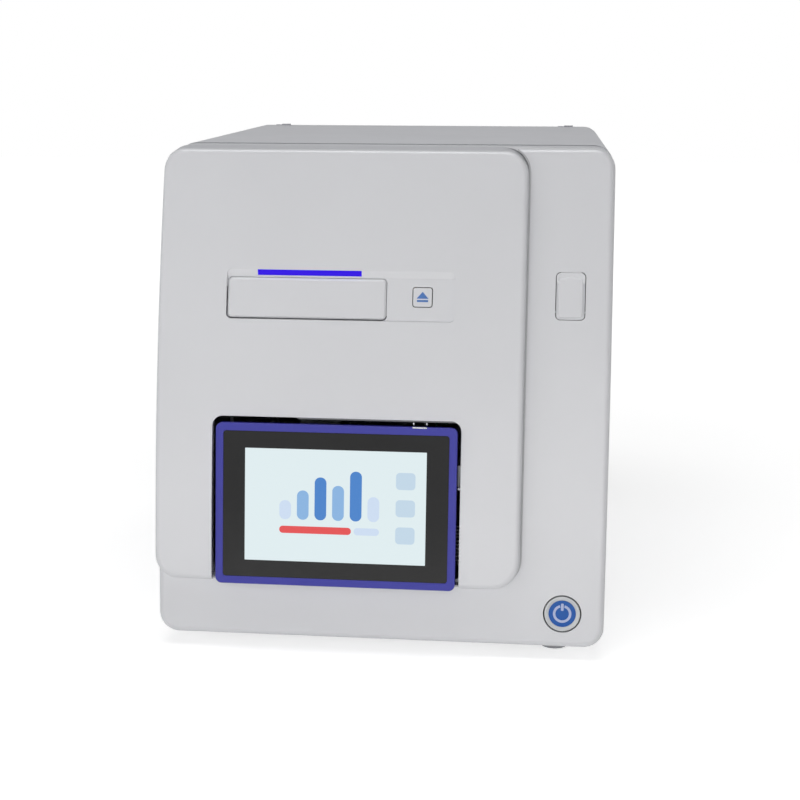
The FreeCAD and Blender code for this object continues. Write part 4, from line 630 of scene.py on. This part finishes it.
BUTTON_FACE = -0.3
TRIANGLE_HALF = 5.3
TRIANGLE_LOW, TRIANGLE_HIGH = -1.2, 4.8
TRIANGLE_CORNER = 0.25
DASH_MIDDLE = -3.2
DASH_WIDTH = 9.8
DASH_HEIGHT = 1.8
DASH_CORNER = 0.2


def eject_symbol():
    """Triangle over a short bar, raised a little on the button."""
    place = on_recess_floor(EJECT_X, EJECT_Z)
    corners = [(-TRIANGLE_HALF, TRIANGLE_LOW), (TRIANGLE_HALF, TRIANGLE_LOW), (0, TRIANGLE_HIGH)]
    mesh = bmesh.new()
    for outline in (rounded_corners(corners, TRIANGLE_CORNER),
                    rounded_box(0, DASH_MIDDLE, DASH_WIDTH, DASH_HEIGHT, DASH_CORNER, steps=3)):
        add_prism(mesh, place, outline, BUTTON_FACE - PRINT, BUTTON_FACE)
    finish_piece("eject_symbol", mesh, "mark", "eject")


# The port flap: an inner panel that is flush with the cover, in a sunken rim, and the knuckle
# of the hinge behind it. The panel's top edge rises to a shallow arch in its middle.

FLAP_WIDTH = 25.0
FLAP_HEIGHT = 41.0
FLAP_CORNER = 3.9
FLAP_BACK = 2.5
FLAP_POINTS = 220
FLAP_SHARP_ANGLE = 50
INNER_WIDTH = 19.6
INNER_LOW, INNER_HIGH = -18.2, 14.6
INNER_CORNER = 1.4
INNER_POINTS = 1600
ARCH_HEIGHT = 1.7
ARCH_REACH = 3.6
ARCH_LOWEST = 10
KNUCKLE_HEIGHT = -13.8
KNUCKLE_RADIUS = 1.9
KNUCKLE_INSET = 0.4
KNUCKLE_SIDES = 24
SMALLEST_STEP = 1e-9

# The rim turns from the sides' section to the top's between two heights above the flap's
# middle, and to the foot's between two distances below it.
TOP_RIM_START, TOP_RIM_END = 9.5, 13.5
FOOT_RIM_START, FOOT_RIM_END = 16.5, 19.0

# The rim's section from the flap's edge to the inner panel: the share of the way in, then how
# deep the face lies there at the sides, at the top and at the foot.
RIM_SECTION = (
    (0.0, 1.9, 0.4, 0.95),
    (0.05, 1.8, 0.12, 0.85),
    (0.16, 1.6, 0.08, 0.8),
    (0.5, 1.0, 0.2, 0.85),
    (0.8, 0.42, 0.62, 0.95),
    (0.93, 0.1, 0.2, 0.3),
    (1.0, 0.0, 0.0, 0.0),
    (1.1, 0.0, 0.0, 0.0),
)


def resample(outline, count):
    """The same closed outline with its points evenly spaced."""
    closed = outline + outline[:1]
    lengths = [0.0]
    for first, second in zip(closed, closed[1:]):
        lengths.append(lengths[-1] + (Vector(second) - Vector(first)).length)
    points = []
    side = 0
    for number in range(count):
        target = lengths[-1] * number / count
        while lengths[side + 1] < target:
            side += 1
        share = (target - lengths[side]) / max(lengths[side + 1] - lengths[side], SMALLEST_STEP)
        points.append(tuple(Vector(closed[side]).lerp(Vector(closed[side + 1]), share)))
    return points


def turn_between(first, second):
    """Angle between the directions of two points, seen from the origin."""
    across = second[1] * first[0] - second[0] * first[1]
    along = second[0] * first[0] + second[1] * first[1]
    return abs(math.atan2(across, along))


def towards(outline, inner):
    """For each point of an outline, the inner outline's point in the same direction."""
    matched = []
    for start in outline:
        matched.append(min(inner, key=lambda point: turn_between(start, point)))
    return matched


def smooth_step(low, high, value):
    """Nought below a low value and one above a high one, with a smooth rise between."""
    share = min(max((value - low) / (high - low), 0.0), 1.0)
    return share * share * (3 - 2 * share)


def rim_line(edge, inner, share, side, top, foot):
    """Outline at a share of the way in from the flap's edge, and its depth at each point."""
    line = []
    depths = []
    for start, end in zip(edge, inner):
        point = Vector(start).lerp(Vector(end), share)
        arch = 0.0
        if point.y > ARCH_LOWEST:
            arch = ARCH_HEIGHT * share * math.exp(-(point.x / ARCH_REACH) ** 2)
        line.append((point.x, point.y + arch))
        high = smooth_step(TOP_RIM_START, TOP_RIM_END, point.y)
        low = smooth_step(FOOT_RIM_START, FOOT_RIM_END, -start[1])
        depths.append(side * (1 - high - low) + top * high + foot * low)
    return line, depths


def add_knuckle(mesh, place):
    """Round bar along the hinge's axis, on the flap's back."""
    last_angle = 360 - 360 / KNUCKLE_SIDES
    section = arc(FLAP_BACK, KNUCKLE_HEIGHT, KNUCKLE_RADIUS, 0, last_angle, KNUCKLE_SIDES - 1)
    half_length = INNER_WIDTH / 2 - KNUCKLE_INSET
    rings = []
    for x in (-half_length, half_length):
        rings.append([mesh.verts.new(place @ Vector((x, depth, up))) for depth, up in section])
    close_rings(mesh, rings)


def port_flap_cover():
    place = on_cover(FLAP_X, FLAP_Z)
    edge = resample(rounded_box(0, 0, FLAP_WIDTH, FLAP_HEIGHT, FLAP_CORNER), FLAP_POINTS)
    middle = (INNER_LOW + INNER_HIGH) / 2
    panel = rounded_box(0, middle, INNER_WIDTH, INNER_HIGH - INNER_LOW, INNER_CORNER, steps=5)
    inner = towards(edge, resample(panel, INNER_POINTS))
    mesh = bmesh.new()
    rings = [ring_at(mesh, place, edge, FLAP_BACK)]
    for share, side, top, foot in RIM_SECTION:
        line, depths = rim_line(edge, inner, share, side, top, foot)
        rings.append(ring_at(mesh, place, line, depths))
    close_rings(mesh, rings)
    add_knuckle(mesh, place)
    piece = finish_piece("port_flap_cover", mesh, "case", "flap",
                         FLAP_SHARP_ANGLE)
    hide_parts("port_flap")


# A grey strip in the gap between the raised panel and the cover: painted shade that stands in for
# the shadow in that gap. It starts at the case's top, runs down the panel's right side and along
# its foot, and laps a little over the cover.

GAP_SHADE_START = 62
GAP_SHADE_FACE = -0.4
GAP_SHADE_REACH = 1.7
GAP_SHADE_SLOPE = 0.6
GAP_SHADE_LAP = -0.02
GAP_SHADE_BACK = 6.9
GAP_SHADE_PLAY = 0.05
HIGH_STEPS, SIDE_STEPS, LOW_STEPS, FOOT_STEPS = 14, 24, 16, 12


def gap_shade_line(offset):
    """Line round the raised panel at an offset from its edge, seen from the front."""
    high = CASE_TOP - CORNER_HIGH
    low = PANEL_LOW + CORNER_LOW
    start = PANEL_RIGHT - CORNER_LOW
    end = CORNER_LEFT - CASE_HALF
    points = arc(PANEL_RIGHT - CORNER_HIGH, high, CORNER_HIGH + offset, GAP_SHADE_START, 0, HIGH_STEPS)
    for step in range(1, SIDE_STEPS):
        points.append((PANEL_RIGHT + offset, high + (low - high) * step / SIDE_STEPS))
    points += arc(start, low, CORNER_LOW + offset, 0, -90, LOW_STEPS)
    for step in range(1, FOOT_STEPS + 1):
        points.append((start + (end - start) * step / FOOT_STEPS, PANEL_LOW - offset))
    return points


def panel_gap_shade():
    inside = PANEL_GAP - GAP_SHADE_PLAY
    section = ((GAP_SHADE_PLAY, GAP_SHADE_FACE), (GAP_SHADE_REACH - GAP_SHADE_SLOPE, GAP_SHADE_FACE), (GAP_SHADE_REACH, GAP_SHADE_LAP),
               (inside, GAP_SHADE_LAP), (inside, GAP_SHADE_BACK), (GAP_SHADE_PLAY, GAP_SHADE_BACK))
    mesh = bmesh.new()
    lines = []
    for offset, depth in section:
        line = []
        for x, up in gap_shade_line(offset):
            line.append(mesh.verts.new(machine(x, front_y(up) + depth, up)))
        lines.append(line)
    close_rings(mesh, list(zip(*lines)))
    finish_piece("panel_gap_shade", mesh, "gap_shade", "case")


# Painted shade on the case's top: a thin skin in the sheet's darker colour on the raised panel and
# on the cover behind and beside it, which starts behind their rounded front edges, so that these
# tops read darker than the lit front.

PANEL_FRONT_TOP = 427.7
PANEL_BACK = 101.4
COVER_BACK = 128.8
PANEL_SKIN_RISE = 0.4
PANEL_SKIN_START = 3.4
BEHIND_SKIN_START = 0.4
COVER_SKIN_START = 4.4
SKIN = 0.15
SKIN_EDGE = 0.05
SKIN_UNDERSIDE = 0.02
SKIN_TURN = 50
SKIN_STEP = 5
UPWARD = 90


def corner_line(x, height, radius, degrees):
    """Points round a corner at given angles, each with its outward direction."""
    line = []
    for angle in degrees:
        turn = math.radians(angle)
        outward = Vector((math.cos(turn), 0, math.sin(turn)))
        line.append((Vector((x, 0, height)) + outward * radius, outward))
    return line


def top_line(left, right, high, corner_left, corner_right):
    """Line along a top edge and part of the way round its corners; a square corner is 0."""
    first = UPWARD + (SKIN_TURN if corner_left else 0)
    last = UPWARD - (SKIN_TURN if corner_right else 0)
    line = corner_line(left + corner_left, high - corner_left, corner_left,
                       range(first, UPWARD - 1, -SKIN_STEP))
    line += corner_line(right - corner_right, high - corner_right, corner_right,
                        range(UPWARD, last - 1, -SKIN_STEP))
    return line


def add_skin(mesh, front, front_depth, back, back_y):
    """Thin skin from a front line, at a depth from the cover's face, to a straight back line."""
    rings = []
    for (near, outward), (far, _) in zip(front, back):
        near = Vector((near.x, front_y(near.z) + front_depth, near.z))
        far = Vector((far.x, back_y, far.z))
        ring = []
        for point, lift in ((near, SKIN_EDGE), (far, SKIN), (far, SKIN_UNDERSIDE), (near, 0.0)):
            ring.append(mesh.verts.new(machine(*(point + outward * lift))))
        rings.append(ring)
    close_rings(mesh, rings)


def top_shade_skin():
    mesh = bmesh.new()
    panel_front = top_line(-CASE_HALF, PANEL_RIGHT, PANEL_FRONT_TOP + PANEL_SKIN_RISE, CASE_CORNER,
                           CORNER_HIGH)
    panel_back = top_line(-CASE_HALF, PANEL_RIGHT, CASE_TOP, CASE_CORNER, CORNER_HIGH)
    add_skin(mesh, panel_front, PANEL_SKIN_START - PANEL_PROUD, panel_back, PANEL_BACK)
    split = PANEL_RIGHT + PANEL_GAP
    behind = top_line(-CASE_HALF, split, CASE_TOP, CASE_CORNER, 0)
    behind_depth = PANEL_BACK - front_y(CASE_TOP) + BEHIND_SKIN_START
    add_skin(mesh, behind, behind_depth, behind, COVER_BACK)
    beside = top_line(split, CASE_HALF, CASE_TOP, 0, CASE_CORNER)
    add_skin(mesh, beside, COVER_SKIN_START, beside, COVER_BACK)
    finish_piece("top_shade_skin", mesh, "sheet", "case")


# What shows in the gap between the screen and the notch that it stands in; its pale pieces are
# painted glints. Depths of the ledge, the post and the glint block count from the raised panel's
# face, for the last two from where it is at one height, because they stand upright.

NOTCH_TOP = 200.2
NOTCH_RIGHT = 71.9
LEDGE_LEFT, LEDGE_RIGHT = -72.0, 71.0
LEDGE_HEIGHT = 1.5
LEDGE_PLAY = 0.1
LEDGE_CORNER = 0.2
LEDGE_FRONT, LEDGE_BACK = 0.9, 2.9


def notch_ledge():
    """Thin strip that hangs behind the notch's upper edge."""
    place = face_place(0, panel_y(NOTCH_TOP), NOTCH_TOP)
    outline = rounded_box((LEDGE_LEFT + LEDGE_RIGHT) / 2, -LEDGE_PLAY - LEDGE_HEIGHT / 2,
                          LEDGE_RIGHT - LEDGE_LEFT, LEDGE_HEIGHT, LEDGE_CORNER, steps=2)
    mesh = bmesh.new()
    add_prism(mesh, place, outline, LEDGE_FRONT, LEDGE_BACK)
    finish_piece("notch_ledge", mesh, "grey_plastic", "case")


CLIP_MIDDLE = 73.4
CLIP_WIDTH = 12.6
CLIP_EDGE = 1.1
CLIP_CORNER = 0.3
CLIP_FOOT = SCREEN_HEIGHT - 0.3
CLIP_FOOT_FRONT, CLIP_FOOT_BACK = -0.25, 0.6
CLIP_SIDE = SCREEN_HEIGHT + 2.6
CLIP_SIDE_HEIGHT = 2.0
CLIP_SIDE_FRONT, CLIP_SIDE_BACK = 5.2, 6.2


def clip_glints():
    """Pale strips that are painted glints on the edges of the clip that holds the screen's top: one
    below, two beside it.
    """
    place = on_screen()
    mesh = bmesh.new()
    foot = rounded_box(CLIP_MIDDLE, CLIP_FOOT, CLIP_WIDTH, CLIP_EDGE, CLIP_CORNER, steps=2)
    add_prism(mesh, place, foot, CLIP_FOOT_FRONT, CLIP_FOOT_BACK)
    for side in (-1, 1):
        x = CLIP_MIDDLE + side * (CLIP_WIDTH - CLIP_EDGE) / 2
        upright = rounded_box(x, CLIP_SIDE, CLIP_EDGE, CLIP_SIDE_HEIGHT, CLIP_CORNER, steps=2)
        add_prism(mesh, place, upright, CLIP_SIDE_FRONT, CLIP_SIDE_BACK)
    finish_piece("clip_glints", mesh, "glint_pale", "case")


POST_LEVEL = 151.0
POST_X = NOTCH_RIGHT - 1.35
POST_MIDDLE = 153.0
POST_WIDTH = 2.5
POST_HEIGHT = 19.0
POST_CORNER = 0.3
POST_FRONT, POST_BACK = 1.4, 2.9
GLINT_MIDDLE = 141.6
GLINT_WIDTH = 2.0
GLINT_HEIGHT = 2.2
GLINT_CORNER = 0.6
GLINT_FRONT, GLINT_BACK = 1.0, 2.4
ROUNDED_EDGE = 0.2


def gap_post():
    """Grey block beside the screen, on the notch's right wall, with a small pale block at its foot
    that is a painted glint.
    """
    place = face_place(0, panel_y(POST_LEVEL), 0)
    mesh = bmesh.new()
    post = rounded_box(POST_X, POST_MIDDLE, POST_WIDTH, POST_HEIGHT, POST_CORNER, steps=3)
    add_prism(mesh, place, post, POST_FRONT, POST_BACK, ROUNDED_EDGE)
    finish_piece("gap_post", mesh, "grey_plastic", "case")
    mesh = bmesh.new()
    glint_block = rounded_box(POST_X, GLINT_MIDDLE, GLINT_WIDTH, GLINT_HEIGHT, GLINT_CORNER, steps=4)
    add_prism(mesh, place, glint_block, GLINT_FRONT, GLINT_BACK, ROUNDED_EDGE)
    finish_piece("gap_glint", mesh, "glint_pale", "case")


# Thin lips that narrow the gaps round the flap and the tray.

FLAP_OPENING_TOP = 21.1
FLAP_LIP_WIDTH = 18.0
FLAP_LIP_HEIGHT = 0.45
FLAP_LIP_CORNER = 0.15
FLAP_LIP_FRONT, FLAP_LIP_BACK = 0.35, 1.3


def flap_lip():
    """Lip under the top edge of the flap's opening."""
    middle = FLAP_OPENING_TOP - FLAP_LIP_HEIGHT / 2
    outline = rounded_box(0, middle, FLAP_LIP_WIDTH, FLAP_LIP_HEIGHT, FLAP_LIP_CORNER, steps=2)
    mesh = bmesh.new()
    add_prism(mesh, on_cover(FLAP_X, FLAP_Z), outline, FLAP_LIP_FRONT, FLAP_LIP_BACK)
    finish_piece("flap_lip", mesh, "case", "case")


TRAY_OPENING_LOW, TRAY_OPENING_TOP = 283.6, 319.6
TRAY_LEFT, TRAY_RIGHT = -138.3, 4.2
TRAY_CORNER = 4.5
TRAY_LIP_HEIGHT = 0.55
TRAY_LIP_FRONT, TRAY_LIP_BACK = 0.1, 1.5


def tray_lip():
    """Lip down the right side of the tray's opening, along its top and a little down its left."""
    height = (TRAY_OPENING_LOW + TRAY_OPENING_TOP) / 2
    place = on_recess_floor((TRAY_LEFT + TRAY_RIGHT) / 2, height)
    half_height = (TRAY_OPENING_TOP - height) / math.cos(lean_at(height))
    right = (TRAY_RIGHT - TRAY_LEFT) / 2 - TRAY_CORNER
    top = half_height - TRAY_CORNER
    lines = []
    for radius in (TRAY_CORNER - TRAY_LIP_HEIGHT, TRAY_CORNER):
        line = [(right + radius, TRAY_CORNER - half_height)]
        line += arc(right, top, radius, 0, 90, steps=6)
        line += arc(-right, top, radius, 90, 180, steps=6)
        line.append((-right - radius, top - TRAY_CORNER))
        lines.append(line)
    mesh = bmesh.new()
    add_open_strip(mesh, place, *lines, TRAY_LIP_FRONT, TRAY_LIP_BACK)
    finish_piece("tray_lip", mesh, "case", "case")


def build_pieces():
    display_picture()
    chart_bars()
    chart_base()
    display_touch_fields()
    power_symbol()
    eject_symbol()
    port_flap_cover()
    panel_gap_shade()
    top_shade_skin()
    notch_ledge()
    clip_glints()
    gap_post()
    flap_lip()
    tray_lip()


build_pieces()


# Camera, fitted to the photograph.

CAMERA_PLACE = machine(134.652, -1168.402, 507.116)
CAMERA_YAW = 0.0980880
CAMERA_PITCH = -0.2380296
CAMERA_ROLL = 0.0016371
FOCAL_PIXELS = 1411.47
PICTURE_PIXELS = 800
SENSOR_WIDTH = 36.0
CLIP_START, CLIP_END = 0.05, 50


def make_camera():
    data = bpy.data.cameras.new("camera")
    data.sensor_width = SENSOR_WIDTH
    data.lens = FOCAL_PIXELS / PICTURE_PIXELS * SENSOR_WIDTH
    data.clip_start = CLIP_START
    data.clip_end = CLIP_END
    camera = bpy.data.objects.new("camera", data)
    turn = Matrix.Rotation(CAMERA_YAW, 4, "Z") @ Matrix.Rotation(math.pi / 2 + CAMERA_PITCH, 4, "X")
    roll = Matrix.Rotation(CAMERA_ROLL, 4, "Z")
    camera.matrix_world = Matrix.Translation(CAMERA_PLACE) @ turn @ roll
    bpy.context.scene.collection.objects.link(camera)
    bpy.context.scene.camera = camera


# The studio: soft lamps, a white background and a floor that keeps the shadow.

WHITE = (1.0, 1.0, 1.0)
OPAQUE_WHITE = (*WHITE, 1.0)
WARM_WHITE = (1.0, 0.985, 0.955)
LAMPS = {
    "key": {"place": (-1.2, -2.6, 1.3), "target": (0, -0.1, 0.25), "size": (1.6, 1.2),
            "power": 10.2},
    "low_front": {"place": (0.2, -1.35, 0.15), "target": (0, -0.2, 0.05), "size": (2.0, 0.3),
                  "power": 6.8, "colour": WARM_WHITE},
    "left_side": {"place": (-2.2, -1.5, 0.7), "target": (-0.1, -0.1, 0.2), "size": (1.2, 1.2),
                  "power": 8.5},
    "overhead": {"place": (-0.1, -0.5, 2.3), "target": (0, -0.2, 0.4), "size": (1.6, 0.8),
                 "power": 16, "in_gloss": True},
    "behind": {"place": (1.8, 2.0, 1.2), "target": (0, 0.1, 0.25), "size": (1.8, 1.2),
               "power": 12},
}


def area_lamp(name, place, target, size, power, colour=WHITE, in_gloss=False):
    """Soft rectangular lamp; in_gloss says whether polished surfaces mirror it."""
    data = bpy.data.lights.new(name, "AREA")
    data.shape = "RECTANGLE"
    data.size, data.size_y = size
    data.energy = power
    data.color = colour
    lamp = bpy.data.objects.new(name, data)
    lamp.location = place
    lamp.rotation_euler = (Vector(target) - Vector(place)).to_track_quat("-Z", "Y").to_euler()
    lamp.visible_camera = False
    lamp.visible_glossy = in_gloss
    bpy.context.scene.collection.objects.link(lamp)


def background_share(tree):
    """One for rays that show the background straight, mirrored or through glass, else nought."""
    path = add_node(tree, "ShaderNodeLightPath")
    seen = path.outputs["Is Camera Ray"]
    for kind in ("Is Glossy Ray", "Is Transmission Ray"):
        either = add_node(tree, "ShaderNodeMath", operation="MAXIMUM")
        tree.links.new(seen, either.inputs[0])
        tree.links.new(path.outputs[kind], either.inputs[1])
        seen = either.outputs["Value"]
    return seen


HORIZON_LIGHT = 0.12
ZENITH_LIGHT = 0.06


def make_world():
    """White where it is seen; as a light, brighter round the horizon than overhead."""
    world = bpy.data.worlds.new("studio")
    world.use_nodes = True
    tree = world.node_tree
    tree.nodes.clear()
    place = add_node(tree, "ShaderNodeTexCoord")
    split = add_node(tree, "ShaderNodeSeparateXYZ")
    fade = add_node(tree, "ShaderNodeMapRange", To_Min=HORIZON_LIGHT, To_Max=ZENITH_LIGHT)
    light = add_node(tree, "ShaderNodeBackground", Color=OPAQUE_WHITE)
    white = add_node(tree, "ShaderNodeBackground", Color=OPAQUE_WHITE, Strength=1.0)
    mix = add_node(tree, "ShaderNodeMixShader")
    output = add_node(tree, "ShaderNodeOutputWorld")
    tree.links.new(place.outputs["Generated"], split.inputs["Vector"])
    tree.links.new(split.outputs["Z"], fade.inputs["Value"])
    tree.links.new(fade.outputs["Result"], light.inputs["Strength"])
    tree.links.new(background_share(tree), mix.inputs["Fac"])
    tree.links.new(light.outputs["Background"], mix.inputs[1])
    tree.links.new(white.outputs["Background"], mix.inputs[2])
    tree.links.new(mix.outputs["Shader"], output.inputs["Surface"])
    bpy.context.scene.world = world


FLOOR_HALF = 6.0
FLOOR_GREY = 0.86
FLOOR_ROUGHNESS = 0.9
FLOOR_NEAR, FLOOR_FAR = 0.5, 2.2
FLOOR_LIFT_NEAR, FLOOR_LIFT_FAR = 0.6, 0.9


def floor_material():
    """Pale grey that glows more with the distance from the object, but only where it is seen."""
    material = bpy.data.materials.new("floor")
    material.use_nodes = True
    tree = material.node_tree
    inputs = shader_of(material).inputs
    inputs["Base Color"].default_value = (FLOOR_GREY, FLOOR_GREY, FLOOR_GREY, 1)
    inputs["Roughness"].default_value = FLOOR_ROUGHNESS
    inputs["Emission Color"].default_value = OPAQUE_WHITE
    place = add_node(tree, "ShaderNodeTexCoord")
    distance = add_node(tree, "ShaderNodeVectorMath", operation="LENGTH")
    fade = add_node(tree, "ShaderNodeMapRange", From_Min=FLOOR_NEAR, From_Max=FLOOR_FAR,
                    To_Min=FLOOR_LIFT_NEAR, To_Max=FLOOR_LIFT_FAR)
    lift = add_node(tree, "ShaderNodeMath", operation="MULTIPLY")
    tree.links.new(place.outputs["Object"], distance.inputs[0])
    tree.links.new(distance.outputs["Value"], fade.inputs["Value"])
    tree.links.new(background_share(tree), lift.inputs[0])
    tree.links.new(fade.outputs["Result"], lift.inputs[1])
    tree.links.new(lift.outputs["Value"], inputs["Emission Strength"])
    return material


def make_floor():
    """A wide pale floor that looks white but keeps the object's shadow."""
    mesh = bpy.data.meshes.new("floor")
    corners = [(x * FLOOR_HALF, y * FLOOR_HALF, 0) for x, y in ((-1, -1), (1, -1), (1, 1), (-1, 1))]
    mesh.from_pydata(corners, [], [(0, 1, 2, 3)])
    mesh.materials.append(floor_material())
    floor = bpy.data.objects.new("floor", mesh)
    bpy.context.scene.collection.objects.link(floor)


make_camera()
make_world()
make_floor()
for lamp_name, lamp_settings in LAMPS.items():
    area_lamp(lamp_name, **lamp_settings)

bpy.context.scene.view_settings.view_transform = "Standard"
